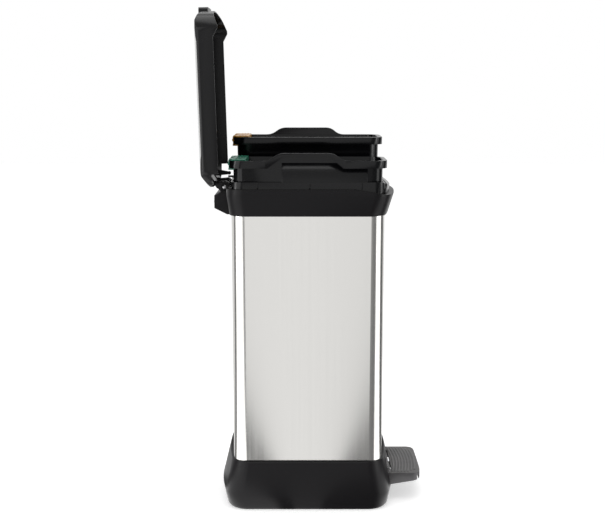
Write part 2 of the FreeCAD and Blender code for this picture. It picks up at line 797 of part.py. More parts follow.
def make_lid():
    outer = lid_dome("lid_outer", "0")
    inner = lid_dome("lid_inner", "lid_wall")
    under_panel = lid_dome("lid_under_panel", "panel_gauge")
    panel_half_x = f"({HALF_X} + lid_flare - panel_margin)"
    half_length = "((panel_front - panel_rear) / 2)"
    panel_plan = prism(
        "panel_plan", "XY_Plane",
        rounded(panel_half_x, half_length, "panel_corner", "0",
                "0 - (panel_front + panel_rear) / 2"),
        "120", "10",
    )
    skin = cut("panel_skin", outer, under_panel)
    panel = common("panel_sheet", skin, panel_plan)
    shell = cut("lid_shell", outer, inner)
    arms = []
    for side, word in SIDES:
        start = "arm_near" if side > 0 else "0 - arm_far"
        web = prism(f"arm_web_{word}", "YZ_Plane", polygon(
            ("knuckle_radius - 0.6", "3"), ("2", "17"), ("-6", "22.4"), ("-22", "32.6"),
            ("-22", "29.5"), ("-12.6", "21"), ("-11", "14"), ("0 - knuckle_radius + 0.3", "3"),
        ), "arm_far - arm_near", start)
        eye = cylinder(f"arm_eye_{word}", "knuckle_radius", "arm_far - arm_near",
                       (start, "0", "0"), "x")
        bore = cylinder(f"arm_bore_{word}", "hinge_pin_radius + running_gap",
                        "arm_far - arm_near + 2", (f"{start} - 1", "0", "0"), "x")
        arms.append(cut(f"hinge_arm_{word}", fuse(f"arm_blank_{word}", web, eye), bore))
    lip = prism(
        "lip_blank", "XY_Plane",
        rounded("lip_half_width", "(lip_reach + 8)", "7", "0", "0 - lid_front + 8"),
        "lip_high - lip_low", "lip_low",
    )
    lip_outside = cut("finger_lip", lip, lid_dome("lid_core", "plastic_wall / 2"))
    frame_blank = fuse("frame_blank", cut("shell_recessed", shell, panel), *arms, lip_outside)

    crank_blank = fuse(
        "crank_blank",
        prism("crank_fin", "YZ_Plane", polygon(
            ("0 - crank_reach + 3", "2 - crank_drop"), ("-20", "22"), ("-30", "37.3"),
            ("-46", "44.4"), ("-34", "22"),
            ("0 - crank_reach - 3", "2 - crank_drop"),
        ), "2 * crank_half_width", symmetric=True),
        cylinder("crank_end", "crank_tip", "2 * crank_half_width",
                 ("0 - crank_half_width", "0 - crank_reach", "0 - crank_drop"), "x"),
    )
    crank = cut("crank_trimmed", crank_blank, frame_blank)
    node(open_lid(group("panel_turned", panel)), "lid_panel")
    node(open_lid(group("frame_turned", frame_blank)), "lid_frame")
    node(open_lid(group("crank_turned", crank)), "lid_crank")


# ---- pedal -----------------------------------------------------------------------------------

def make_pedal():
    middle = "((pedal_root + pedal_tip) / 2)"
    half_reach = "((pedal_tip - pedal_root) / 2)"
    side_y, arc_x, arc_y = bow_end(
        "pedal_half_width", half_reach, "pedal_corner", "pedal_nose"
    )
    plan = prism("pad_plan", "XY_Plane", [
        ("pedal_half_width", f"0 - {middle} - {side_y}", "pedal_corner"),
        ("pedal_half_width", "0 - pedal_root", None),
        ("0 - pedal_half_width", "0 - pedal_root", None),
        ("0 - pedal_half_width", f"0 - {middle} - {side_y}", None),
        (f"-{arc_x}", f"0 - {middle} - {arc_y}", "pedal_corner"),
        (arc_x, f"0 - {middle} - {arc_y}", "pedal_nose"),
    ], "60", "20")
    side = prism("pad_side", "YZ_Plane", polygon(
        ("0 - pedal_root", "pedal_surface"), ("0 - pedal_tip + pedal_top_set", "pedal_surface"),
        ("0 - pedal_tip", "pedal_lip"), ("0 - pedal_tip + 2", "pedal_tip_under"),
        ("0 - pedal_root", "pedal_root_under"),
    ), "3 * pedal_half_width", symmetric=True)
    hollow = box(
        "pad_hollow",
        ("0 - pedal_half_width + 4", "0 - pedal_tip + 8", "0"),
        ("pedal_half_width - 4", "0 - pedal_root - 4", "pedal_surface - pedal_skin"),
    )
    notch = box(
        "pad_notch",
        ("0 - tongue_half_width - tongue_gap", "0 - tongue_front - tongue_gap", "0"),
        ("tongue_half_width + tongue_gap", "0 - pedal_root + 9", "pedal_surface + 9"),
    )
    top = "(pivot_height + lever_thick / 2)"
    screws = []
    bosses = []
    for side_x, word in SIDES:
        spot = (f"{side_x} * 10", "0 - pedal_tip + 32")
        bosses.append(cylinder(f"pad_boss_{word}", "6", f"pedal_surface - 2 - {top}",
                               (*spot, top)))
        head = cylinder(f"pedal_screw_head_{word}", "screw_head_radius", "screw_head_height",
                        (*spot, f"{top} - lever_thick - screw_head_height"))
        shank = cylinder(f"pedal_screw_shank_{word}", "screw_radius", "lever_thick + 5",
                         (*spot, f"{top} - lever_thick"))
        screws.append(fuse(f"pedal_screw_{word}", head, shank))
    screw_group = node(group("pedal_screw_set", *screws), "pedal_screws")
    shell = cut("pad_shell", common("pad_block", plan, side), hollow, notch)
    node(cut("pad_drilled", fuse("pad_blank", shell, *bosses), screw_group), "pedal_pad")

    cover = prism(
        "tongue_cover", "XY_Plane",
        polygon(
            ("tongue_half_width", "0 - tongue_front"), ("tongue_half_width", "0 - tongue_rear"),
            ("0 - tongue_half_width", "0 - tongue_rear"),
            ("0 - tongue_half_width", "0 - tongue_front"),
        ), "pedal_skin", "pedal_surface - pedal_skin",
    )
    stem = box(
        "tongue_stem", ("0 - lever_half_width", "0 - tongue_front + 6", top),
        ("lever_half_width", "0 - tongue_rear - 6", "pedal_surface - 2"),
    )
    node(fuse("tongue_blank", cover, stem), "pedal_tongue")

    strip = box(
        "lever_strip",
        ("0 - lever_half_width", "0 - lever_front", f"{top} - lever_thick"),
        ("lever_half_width", "rod_place + lever_overrun", top),
    )
    hub = cylinder("hub_tube", "hub_radius", "2 * hub_half_length",
                   ("0 - hub_half_length", PIVOT_Y, "pivot_height"), "x")
    hub_bore = cylinder("hub_bore", "pivot_radius + running_gap", "2 * hub_half_length + 2",
                        ("0 - hub_half_length - 1", PIVOT_Y, "pivot_height"), "x")
    bushes = []
    for side, word in SIDES:
        start = "hub_half_length - bush_length" if side > 0 else "0 - hub_half_length"
        bushes.append(cylinder(f"bush_{word}", "pivot_radius + bush_wall", "bush_length",
                               (start, PIVOT_Y, "pivot_height"), "x"))
    bush_set = group("bush_set", *bushes)
    node(cut("bushes_bored", bush_set, hub_bore), "lever_bushes")
    wide_bore = cylinder("hub_wide_bore", "pivot_radius + bush_wall", "2 * hub_half_length + 2",
                         ("0 - hub_half_length - 1", PIVOT_Y, "pivot_height"), "x")
    node(cut("lever_drilled", fuse("lever_blank", strip, hub), wide_bore, screw_group),
         "pedal_lever")


def make_rod():
    lever_top = "(pivot_height + lever_thick / 2)"
    low = f"({lever_top} + rod_foot_gap)"
    head_low = "(rod_head_top - rod_head_thick)"
    rod = node(
        cylinder("rod_bar", "rod_radius", f"{head_low} - {low} - 1",
                 ("0", "rod_place", f"{low} + 1")), "push_rod"
    )
    cap = cylinder("rod_cap", "rod_cap_radius", "rod_cap_height", ("0", "rod_place", low))
    node(cut("rod_cap_bored", cap, rod), "rod_foot")
    head = box(
        "rod_head_bar", ("0 - rod_head_half_width", "rod_place - rod_radius - 2", head_low),
        ("rod_head_half_width", "rod_head_rear", "rod_head_top"),
    )
    node(head, "rod_head")
    guides = []
    for level in ("guide_low", "guide_high"):
        block = box(
            f"{level}_block",
            ("0 - guide_half_width", "rod_place - rod_radius - 3", level),
            ("guide_half_width", f"{HALF_Y} - sleeve_gauge", f"{level} + guide_height"),
        )
        hole = cylinder(f"{level}_hole", "rod_radius + guide_gap", "guide_height + 2",
                        ("0", "rod_place", f"{level} - 1"))
        guides.append(cut(f"{level}_guide", block, hole))
    node(group("guide_set", *guides), "rod_guides")


# ---- buckets ---------------------------------------------------------------------------------

def make_bucket(side, bucket_name, clip_name, lift):
    """A tapered bucket with a turned-down rim, an arched handle on its outer side and a clip."""
    centre_x = f"({side} * (sleeve_width / 2 + bucket_gap / 2) / 2)"
    rim_x = "((sleeve_width - bucket_gap) / 4)"
    rim_y = f"({HALF_Y} + 3.5)"
    body_x = f"({rim_x} - rim_overhang)"
    body_y = f"({HALF_Y} - liner_wall - bucket_end_play - 2)"
    floor = f"(bucket_floor + {lift})"
    top = f"(bucket_rim + {lift})"
    key = bucket_name

    def section(height, shrink, draft_x, draft_y):
        return (height, rounded(
            f"({body_x} - {draft_x} - {shrink})", f"({body_y} - {draft_y} - {shrink})",
            f"(bucket_corner - 4 - {shrink})", centre_x,
        ))
    outer = tapered(f"{key}_outer", [
        section(floor, "0", "bucket_draft_side", "bucket_draft_end"),
        section(f"{top} - 1", "0", "0", "0"),
    ])
    inner = tapered(f"{key}_inner", [
        section(f"{floor} + bucket_wall", "bucket_wall", "bucket_draft_side", "bucket_draft_end"),
        section(f"{top} + 0.5", "bucket_wall", "0", "0"),
    ])
    rim = prism(f"{key}_rim", "XY_Plane",
                rounded(rim_x, rim_y, "bucket_corner", centre_x), "rim_skirt",
                f"{top} - rim_skirt")
    gap = prism(
        f"{key}_rim_gap", "XY_Plane",
        rounded(f"({rim_x} - rim_skin)", f"({rim_y} - rim_skin)", "(bucket_corner - rim_skin)",
                centre_x),
        "rim_skirt - rim_thick + 5", f"{top} - rim_skirt - 5",
    )
    edge_x = f"({centre_x} + {side} * {rim_x})"
    wall_x = f"({centre_x} + {side} * {body_x})"
    grip_x = f"({edge_x} - {side} * handle_inset)"

    def across(name, first, second, outline):
        """A prism of a side outline between two x places, whichever of them is larger."""
        low, high = (first, second) if side > 0 else (second, first)
        return prism(name, "YZ_Plane", outline, f"{high} - ({low})", low)

    relief = box(
        f"{key}_relief",
        (edge_x if side < 0 else wall_x, "0 - handle_front_foot + 5", f"{top} - rim_skirt - 1"),
        (f"{wall_x}" if side < 0 else edge_x, "handle_rear_foot - 5", f"{top} + 1"),
    )
    rise = f"({top} + handle_rise)"
    turn = "(((handle_rear_foot - handle_rear_top) ^ 2 + handle_rise ^ 2) / (4 * handle_rise))"
    front_turn = (
        "(((handle_front_foot - handle_front_top) ^ 2 + handle_rise ^ 2) / (4 * handle_rise))"
    )
    half_rise = f"({top} + handle_rise / 2)"

    def handle_outline(depth_foot, depth_top):
        """The arch over the rim, each shoulder an S of two equal arcs, and its underside."""
        return [
            ("handle_rear_foot", f"{top} - {depth_foot}", None),
            ("handle_rear_foot", top, None),
            ("(handle_rear_foot + handle_rear_top) / 2", half_rise, f"0 - {turn}"),
            ("handle_rear_top", rise, turn),
            ("0 - handle_front_top", rise, None),
            ("0 - (handle_front_foot + handle_front_top) / 2", half_rise, front_turn),
            ("0 - handle_front_foot", top, f"0 - {front_turn}"),
            ("0 - handle_front_foot", f"{top} - {depth_foot}", None),
            ("0 - handle_front_foot + 10", f"{top} - {depth_foot}", None),
            ("0 - handle_front_top", f"{rise} - {depth_top}", None),
            ("handle_rear_top", f"{rise} - {depth_top}", None),
            ("handle_rear_foot - 10", f"{top} - {depth_foot}", None),
        ]
    shelf = across(f"{key}_shelf", f"({wall_x} - {side} * bucket_wall)", grip_x,
                   handle_outline("rim_thick", "rim_thick"))
    band = across(f"{key}_band", f"({grip_x} - {side} * rim_skin)", grip_x,
                  handle_outline("rim_skirt", "handle_band"))
    web = across(f"{key}_web", f"({wall_x} - {side} * bucket_wall)", wall_x,
                 handle_outline("6", "(handle_rise + 6)"))
    blank = fuse(f"{key}_blank", cut(f"{key}_rim_shell", rim, gap, relief), outer)
    hollowed = cut(f"{key}_hollowed", blank, inner)
    bucket = node(fuse(f"{key}_whole", hollowed, shelf, band, web), bucket_name)

    clip_y = "(clip_depth + clip_end)"
    end_y = f"({rim_y} - clip_end)"
    clip_half = f"({rim_x} - clip_side)"
    plate = box(
        f"{clip_name}_plate",
        (f"{centre_x} - {clip_half}", f"{rim_y} - {clip_y}", top),
        (f"{centre_x} + {clip_half}", end_y, f"{top} + clip_thick"),
    )
    tail = box(
        f"{clip_name}_tail",
        (f"{centre_x} - {clip_half}", f"{rim_y} - {clip_y}", f"{top} - clip_drop"),
        (f"{centre_x} + {clip_half}", f"{rim_y} - {clip_y} + clip_thick", top),
    )
    node(fuse(f"{clip_name}_frame", plate, cut(f"{clip_name}_tail_cut", tail, bucket)),
         clip_name)


# ---- assembly --------------------------------------------------------------------------------

def check(items):
    """Stops the build if any object failed or any sub-part is empty or not valid."""
    failed = [item.Name for item in doc.Objects
              if "Invalid" in item.State or "Error" in item.State]
    if failed:
        raise RuntimeError(f"these objects failed: {failed}")
    for item in items:
        if item.Shape.isNull() or not item.Shape.isValid() or item.Shape.Volume <= 0:
            raise RuntimeError(f"{item.Label} has no valid shape")


bracket_screws = make_base()
make_pivot(bracket_screws)
make_floor()
make_sleeve()
hinge_screws = make_hinge_screws()
collar, crank_slot = make_collar(hinge_screws)
make_bracket(collar, crank_slot, hinge_screws)
make_lid()
make_pedal()
make_rod()
make_bucket(-1, "bucket_near", "clip_green", "near_lift")
make_bucket(1, "bucket_far", "clip_orange", "far_lift")
doc.recompute()
check(NODES)

os.makedirs("parts", exist_ok=True)
for item in NODES:
    item.Shape.exportStep(f"parts/{item.Label}.step")
    extent = item.Shape.BoundBox
    print(
        f"{item.Label:16s} solids {len(item.Shape.Solids)} volume {item.Shape.Volume / 1000:8.1f}"
        f" x {extent.XMin:7.1f} {extent.XMax:7.1f} y {extent.YMin:7.1f} {extent.YMax:7.1f}"
        f" z {extent.ZMin:7.1f} {extent.ZMax:7.1f}"
    )
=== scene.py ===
"""Looks of a pedal trash can: finishes, moulded details and studio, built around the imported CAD.

Lengths are metres in the CAD frame: +Z up, -Y towards the pedal, +Y towards the lid hinge.
"""

import json
import logging
import math
from dataclasses import dataclass, field
from enum import Enum
from typing import Sequence

import bmesh
import bpy
import numpy as np
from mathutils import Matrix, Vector


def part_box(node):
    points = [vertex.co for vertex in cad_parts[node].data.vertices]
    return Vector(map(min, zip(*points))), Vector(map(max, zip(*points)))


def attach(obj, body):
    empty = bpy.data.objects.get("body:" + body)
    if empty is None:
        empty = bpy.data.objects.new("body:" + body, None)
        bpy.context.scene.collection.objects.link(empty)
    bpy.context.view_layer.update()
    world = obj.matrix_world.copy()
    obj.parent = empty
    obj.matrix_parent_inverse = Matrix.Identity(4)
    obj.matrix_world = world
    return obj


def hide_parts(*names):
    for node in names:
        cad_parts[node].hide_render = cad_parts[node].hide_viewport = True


log = logging.getLogger("trash_can")
MM = 0.001
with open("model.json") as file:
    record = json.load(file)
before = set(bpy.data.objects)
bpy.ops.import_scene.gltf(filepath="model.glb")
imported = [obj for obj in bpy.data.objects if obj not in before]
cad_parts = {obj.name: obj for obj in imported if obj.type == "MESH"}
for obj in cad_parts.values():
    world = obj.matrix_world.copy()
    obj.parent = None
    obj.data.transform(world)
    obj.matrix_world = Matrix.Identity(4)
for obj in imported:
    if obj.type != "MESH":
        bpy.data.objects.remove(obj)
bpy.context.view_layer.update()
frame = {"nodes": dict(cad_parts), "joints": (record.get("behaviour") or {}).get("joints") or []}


# ---- shader node groups ----------------------------------------------------------------------

class Group(Enum):
    """The shared surface effects, each one node group."""

    GRAIN = "moulded_grain"
    BRUSHED = "brushed_lines"
    DUST = "settled_dust"
    SCUFF = "scuffed_edges"


def new_group(name: Group, inputs: dict[str, float], outputs: Sequence[str]) -> tuple:
    """Starts a node group with float sockets.

    Args:
        name: which effect the group holds.
        inputs: socket names with their default values.
        outputs: names of the value sockets it puts out.

    Returns:
        The node tree, its input node and its output node.
    """
    tree = bpy.data.node_groups.new(name.value, "ShaderNodeTree")
    for label, value in inputs.items():
        socket = tree.interface.new_socket(label, in_out="INPUT", socket_type="NodeSocketFloat")
        socket.default_value = value
    for label in outputs:
        tree.interface.new_socket(label, in_out="OUTPUT", socket_type="NodeSocketFloat")
    return tree, tree.nodes.new("NodeGroupInput"), tree.nodes.new("NodeGroupOutput")


def noise(tree: bpy.types.NodeTree, stretch: Sequence[float], detail: float = 4.0):
    """A noise texture read from Object coordinates through a stretch along each axis.

    Args:
        tree: the tree to add to.
        stretch: scale along X, Y and Z, in cycles per metre.
        detail: octaves of the noise.

    Returns:
        The noise node.
    """
    place = tree.nodes.new("ShaderNodeTexCoord")
    mapping = tree.nodes.new("ShaderNodeMapping")
    mapping.inputs["Scale"].default_value = stretch
    tree.links.new(place.outputs["Object"], mapping.inputs["Vector"])
    texture = tree.nodes.new("ShaderNodeTexNoise")
    texture.inputs["Scale"].default_value = 1.0
    texture.inputs["Detail"].default_value = detail
    tree.links.new(mapping.outputs["Vector"], texture.inputs["Vector"])
    return texture


def math_node(tree: bpy.types.NodeTree, operation: str, first, second, clamp: bool = False):
    """A Math node on two sockets or numbers; returns its output socket."""
    node = tree.nodes.new("ShaderNodeMath")
    node.operation = operation
    node.use_clamp = clamp
    for slot, value in enumerate((first, second)):
        if isinstance(value, (int, float)):
            node.inputs[slot].default_value = value
        else:
            tree.links.new(value, node.inputs[slot])
    return node.outputs[0]


def ramp(tree: bpy.types.NodeTree, source, low: float, high: float):
    """Maps source from low..high onto 0..1, clamped; returns the output socket."""
    node = tree.nodes.new("ShaderNodeMapRange")
    node.inputs["From Min"].default_value = low
    node.inputs["From Max"].default_value = high
    tree.links.new(source, node.inputs["Value"])
    return node.outputs["Result"]


def build_grain() -> None:
    """Moulded grain: fine leathery pits and a slow cloud of tone, each -0.5..0.5 times a depth."""
    tree, start, end = new_group(Group.GRAIN, {"Depth": 0.3, "Cloud": 0.2}, ("Height", "Tone"))
    fine = noise(tree, (1500.0, 1500.0, 1500.0), 3.0)
    slow = noise(tree, (9.0, 9.0, 9.0), 3.0)
    pits = math_node(tree, "SUBTRACT", fine.outputs["Fac"], 0.5)
    cloud = math_node(tree, "SUBTRACT", slow.outputs["Fac"], 0.5)
    height = math_node(tree, "MULTIPLY", pits, start.outputs["Depth"])
    tone = math_node(tree, "MULTIPLY", cloud, start.outputs["Cloud"])
    tree.links.new(height, end.inputs["Height"])
    tree.links.new(tone, end.inputs["Tone"])


def build_brushed() -> None:
    """Brushed metal: noise drawn out along Z into hairlines, with a slow lengthwise drift."""
    tree, start, end = new_group(
        Group.BRUSHED, {"Depth": 0.3, "Contrast": 0.2}, ("Height", "Tone")
    )
    hair = noise(tree, (2600.0, 2600.0, 5.0), 5.0)
    broad = noise(tree, (160.0, 160.0, 1.3), 3.0)
    line = math_node(tree, "SUBTRACT", hair.outputs["Fac"], 0.5)
    drift = math_node(tree, "SUBTRACT", broad.outputs["Fac"], 0.5)
    both = math_node(tree, "ADD", line, math_node(tree, "MULTIPLY", drift, 0.6))
    tree.links.new(math_node(tree, "MULTIPLY", line, start.outputs["Depth"]),
                   end.inputs["Height"])
    tree.links.new(math_node(tree, "MULTIPLY", both, start.outputs["Contrast"]),
                   end.inputs["Tone"])


def build_dust() -> None:
    """Dust: a patchy mask that is full on faces that look up and none on faces that look down."""
    tree, start, end = new_group(Group.DUST, {"Amount": 0.2}, ("Mask",))
    geometry = tree.nodes.new("ShaderNodeNewGeometry")
    split = tree.nodes.new("ShaderNodeSeparateXYZ")
    tree.links.new(geometry.outputs["Normal"], split.inputs["Vector"])
    upward = ramp(tree, split.outputs["Z"], 0.35, 1.0)
    patches = ramp(tree, noise(tree, (60.0, 60.0, 60.0), 6.0).outputs["Fac"], 0.35, 0.75)
    mask = math_node(tree, "MULTIPLY", upward, patches)
    tree.links.new(math_node(tree, "MULTIPLY", mask, start.outputs["Amount"]),
                   end.inputs["Mask"])


def build_scuff() -> None:
    """Scuffs: short bright scratches in two crossing directions, kept to sparse patches."""
    tree, start, end = new_group(Group.SCUFF, {"Amount": 0.2}, ("Mask",))
    along = ramp(tree, noise(tree, (60.0, 60.0, 1400.0), 2.0).outputs["Fac"], 0.66, 0.72)
    across = ramp(tree, noise(tree, (1200.0, 60.0, 90.0), 2.0).outputs["Fac"], 0.67, 0.73)
    patch = ramp(tree, noise(tree, (14.0, 14.0, 14.0), 2.0).outputs["Fac"], 0.52, 0.7)
    lines = math_node(tree, "MAXIMUM", along, across)
    mask = math_node(tree, "MULTIPLY", lines, patch)
    tree.links.new(math_node(tree, "MULTIPLY", mask, start.outputs["Amount"]),
                   end.inputs["Mask"])


# ---- finishes --------------------------------------------------------------------------------

@dataclass(frozen=True)
class Finish:
    """A surface finish: a Principled BSDF with colour, roughness and height that vary.

    Attributes:
        name: material name.
        slot: the record's material slot; it is not used.
        colour: base colour, linear.
        roughness: mean roughness.
        metallic: 1 for bare metal.
        coat: weight of a clear glossy coat.
        texture: GRAIN for mouldings or BRUSHED for steel.
        depth: height of the texture, and bump its distance in metres.
        tone: how far the texture moves the colour.
        dust: amount of pale dust on upward faces.
        scuff: amount of fine scratches.
        specular: Specular IOR level.
        anisotropy: how far a metal's highlight is drawn out.
    """

    name: str
    slot: str
    colour: tuple[float, float, float]
    roughness: float = 0.4
    metallic: float = 0.0
    coat: float = 0.0
    texture: Group = Group.GRAIN
    depth: float = 0.5
    bump: float = 0.00006
    tone: float = 0.3
    dust: float = 0.05
    scuff: float = 0.1
    specular: float = 0.5
    anisotropy: float = 0.0

    def build(self) -> bpy.types.Material:
        """Makes the material: texture, dust and scuffs drive colour, roughness and normal."""
        material = bpy.data.materials.new(f"{self.name}_finish")
        material.use_nodes = True
        tree = material.node_tree
        shader = tree.nodes["Principled BSDF"]
        shader.inputs["Metallic"].default_value = self.metallic
        shader.inputs["Coat Weight"].default_value = self.coat
        shader.inputs["Coat Roughness"].default_value = 0.08
        shader.inputs["Specular IOR Level"].default_value = self.specular
        shader.inputs["Anisotropic"].default_value = self.anisotropy
        surface = self.group(tree, self.texture)
        surface.inputs[0].default_value = self.depth
        surface.inputs[1].default_value = self.tone
        dust = self.group(tree, Group.DUST)
        dust.inputs["Amount"].default_value = self.dust
        scuff = self.group(tree, Group.SCUFF)
        scuff.inputs["Amount"].default_value = self.scuff

        shade = tree.nodes.new("ShaderNodeHueSaturation")
        shade.inputs["Color"].default_value = (*self.colour, 1.0)
        tree.links.new(math_node(tree, "ADD", surface.outputs["Tone"], 1.0),
                       shade.inputs["Value"])
        worn = self.mix(tree, shade.outputs["Color"], scuff.outputs["Mask"],
                        tuple(min(1.0, c * 1.7 + 0.05) for c in self.colour))
        dusty = self.mix(tree, worn, dust.outputs["Mask"], (0.46, 0.44, 0.41))
        tree.links.new(dusty, shader.inputs["Base Color"])

        rough = math_node(tree, "ADD", surface.outputs["Tone"], self.roughness)
        marks = math_node(tree, "ADD", dust.outputs["Mask"], scuff.outputs["Mask"])
        lifted = math_node(tree, "MULTIPLY", marks, 0.5)
        tree.links.new(math_node(tree, "ADD", rough, lifted, clamp=True),
                       shader.inputs["Roughness"])
        bump = tree.nodes.new("ShaderNodeBump")
        bump.inputs["Distance"].default_value = self.bump
        tree.links.new(surface.outputs["Height"], bump.inputs["Height"])
        tree.links.new(bump.outputs["Normal"], shader.inputs["Normal"])
        return material

    @staticmethod
    def group(tree: bpy.types.NodeTree, name: Group) -> bpy.types.Node:
        """Places one of the shared groups in a material."""
        node = tree.nodes.new("ShaderNodeGroup")
        node.node_tree = bpy.data.node_groups[name.value]
        return node

    @staticmethod
    def mix(tree: bpy.types.NodeTree, base, factor, colour: Sequence[float]):
        """Mixes a fixed colour over a base by a mask; returns the colour socket."""
        node = tree.nodes.new("ShaderNodeMix")
        node.data_type = "RGBA"
        tree.links.new(factor, node.inputs["Factor"])
        tree.links.new(base, node.inputs["A"])
        node.inputs["B"].default_value = (*colour, 1.0)
        return node.outputs["Result"]


SATIN_BLACK = Finish("satin_black", "satin_black", (0.0050, 0.0046, 0.0054), 0.36, tone=0.12,
                     dust=0.02, specular=0.18)
BASE_BLACK = Finish("base_black", "base_black", (0.0066, 0.0060, 0.0070), 0.36, tone=0.14,
                    dust=0.03, scuff=0.15, specular=0.20)
GLOSS_BLACK = Finish("gloss_black", "gloss_black", (0.0022, 0.0022, 0.0028), 0.20, coat=0.10,
                     depth=0.15, tone=0.08, dust=0.01, specular=0.28)
LID_BLACK = Finish("lid_black", "satin_black", (0.0035, 0.0035, 0.0040), 0.26, depth=0.3,
                   tone=0.1, dust=0.01, scuff=0.05, specular=0.30)
SLEEVE_STEEL = Finish("sleeve_steel", "sleeve_steel", (0.86, 0.85, 0.825), 0.17, 1.0,
                      texture=Group.BRUSHED, depth=0.5, bump=0.00003, tone=0.10, dust=0.0,
                      scuff=0.02, anisotropy=0.3)
PANEL_SILVER = Finish("panel_silver", "panel_silver", (0.80, 0.80, 0.79), 0.26, 1.0,
                      texture=Group.BRUSHED, depth=0.4, bump=0.00003, tone=0.10, dust=0.0,
                      scuff=0.02, anisotropy=0.4)
PLAIN_STEEL = Finish("plain_steel", "plain_steel", (0.50, 0.50, 0.51), 0.36, 1.0,
                     texture=Group.BRUSHED, tone=0.15, scuff=0.2)
PEDAL_GREY = Finish("pedal_grey", "pedal_grey", (0.060, 0.058, 0.060), 0.40, tone=0.14,
                    dust=0.16, scuff=0.3)
# The ribs' copy of the pedal's grey plastic, made lighter than the pad: a painted highlight for
# the light that the rib tops catch.
PEDAL_RIB_PAINTED_HIGHLIGHT = Finish("pedal_rib_painted_highlight", "pedal_grey", (0.095, 0.092, 0.095), 0.36, tone=0.14,
                   dust=0.12, scuff=0.4)
# A dark copy of the plain steel for the screws' crosses: painted shade standing in for the recess.
SCREW_RECESS_PAINTED_SHADE = Finish("screw_recess_painted_shade", "plain_steel", (0.03, 0.03, 0.03), 0.6, 0.5, tone=0.1)
FEET_RUBBER = Finish("feet_rubber", "feet_rubber", (0.028, 0.028, 0.028), 0.75, depth=0.9,
                     tone=0.2, dust=0.1)
GREEN_CLIP = Finish("green_clip", "green_plastic", (0.012, 0.155, 0.095), 0.32, depth=0.2,
                    tone=0.1, coat=0.2)
ORANGE_CLIP = Finish("orange_clip", "orange_plastic", (0.50, 0.235, 0.010), 0.34, depth=0.2,
                     tone=0.1, coat=0.2)
FINISHES = (SATIN_BLACK, BASE_BLACK, GLOSS_BLACK, LID_BLACK, SLEEVE_STEEL, PANEL_SILVER,
            PLAIN_STEEL, PEDAL_GREY, PEDAL_RIB_PAINTED_HIGHLIGHT, SCREW_RECESS_PAINTED_SHADE, FEET_RUBBER, GREEN_CLIP,
            ORANGE_CLIP)
NODE_FINISH = {
    "base_shell": BASE_BLACK, "base_plate": BASE_BLACK, "anti_slip_pads": FEET_RUBBER,
    "pivot_brackets": SATIN_BLACK, "floor_pan": SATIN_BLACK, "body_sleeve": SLEEVE_STEEL,
    "collar": SATIN_BLACK, "rim_liner": GLOSS_BLACK, "hinge_bracket": SATIN_BLACK,
    "stop_buffers": FEET_RUBBER, "rod_guides": GLOSS_BLACK, "lid_panel": PANEL_SILVER,
    "lid_frame": LID_BLACK, "lid_crank": SATIN_BLACK, "pedal_pad": PEDAL_GREY,
    "pedal_tongue": PEDAL_GREY, "lever_bushes": GLOSS_BLACK, "rod_foot": GLOSS_BLACK,
    "rod_head": GLOSS_BLACK, "bucket_near": GLOSS_BLACK, "bucket_far": GLOSS_BLACK,
    "clip_green": GREEN_CLIP, "clip_orange": ORANGE_CLIP,
}


def material_of(finish: Finish) -> bpy.types.Material:
    """The material that was built for a finish."""
    return bpy.data.materials[f"{finish.name}_finish"]


# ---- mesh helpers ----------------------------------------------------------------------------

def grid_faces(rows: int, columns: int, wrap_columns: bool = False) -> np.ndarray:
    """Quads of a rows by columns grid of vertices, counted row by row.

    Args:
        rows: vertices along the first parameter.
        columns: vertices along the second parameter.
        wrap_columns: joins the last column to the first.

    Returns:
        An array of four vertex indices per quad.
    """
    count = columns if wrap_columns else columns - 1
    row, column = np.meshgrid(np.arange(rows - 1), np.arange(count), indexing="ij")
    across = (column + 1) % columns
    corners = (row * columns + column, row * columns + across,
               (row + 1) * columns + across, (row + 1) * columns + column)
    return np.stack(corners, -1).reshape(-1, 4)


def make_piece(name: str, points: np.ndarray, faces: Sequence, finish: Finish, body: str,
               smooth: bool = True) -> bpy.types.Object:
    """Turns arrays into a closed, outward-facing mesh that rides on a body.

    Args:
        name: the piece's name.
        points: vertex positions, one row each, in metres.
        faces: vertex indices of each face.
        finish: its finish.
        body: the CAD body that it moves with.
        smooth: shades it smooth.

    Returns:
        The new object.
    """
    mesh = bpy.data.meshes.new(name)
    mesh.from_pydata(np.asarray(points).tolist(), [], [list(map(int, face)) for face in faces])
    work = bmesh.new()
    work.from_mesh(mesh)
    bmesh.ops.remove_doubles(work, verts=work.verts, dist=1e-6)
    bmesh.ops.recalc_face_normals(work, faces=work.faces)
    work.to_mesh(mesh)
    work.free()
    mesh.polygons.foreach_set("use_smooth", np.full(len(mesh.polygons), smooth))
    piece = bpy.data.objects.new(name, mesh)
    bpy.context.scene.collection.objects.link(piece)
    mesh.materials.append(material_of(finish))
    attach(piece, body)
    log.info("piece %s: %d faces on %s", name, len(mesh.polygons), body)
    return piece


def loft(name: str, rings: np.ndarray, finish: Finish, body: str) -> bpy.types.Object:
    """Skins a stack of closed rings and caps both ends.

    Args:
        name: the piece's name.
        rings: positions with shape (rings, points, 3).
        finish: its finish.
        body: the CAD body that it moves with.

    Returns:
        The new object.
    """
    count, around = rings.shape[:2]
    faces = grid_faces(count, around, wrap_columns=True).tolist()
    faces.append(list(range(around)))
    faces.append(list(range((count - 1) * around, count * around)))
    return make_piece(name, rings.reshape(-1, 3), faces, finish, body)


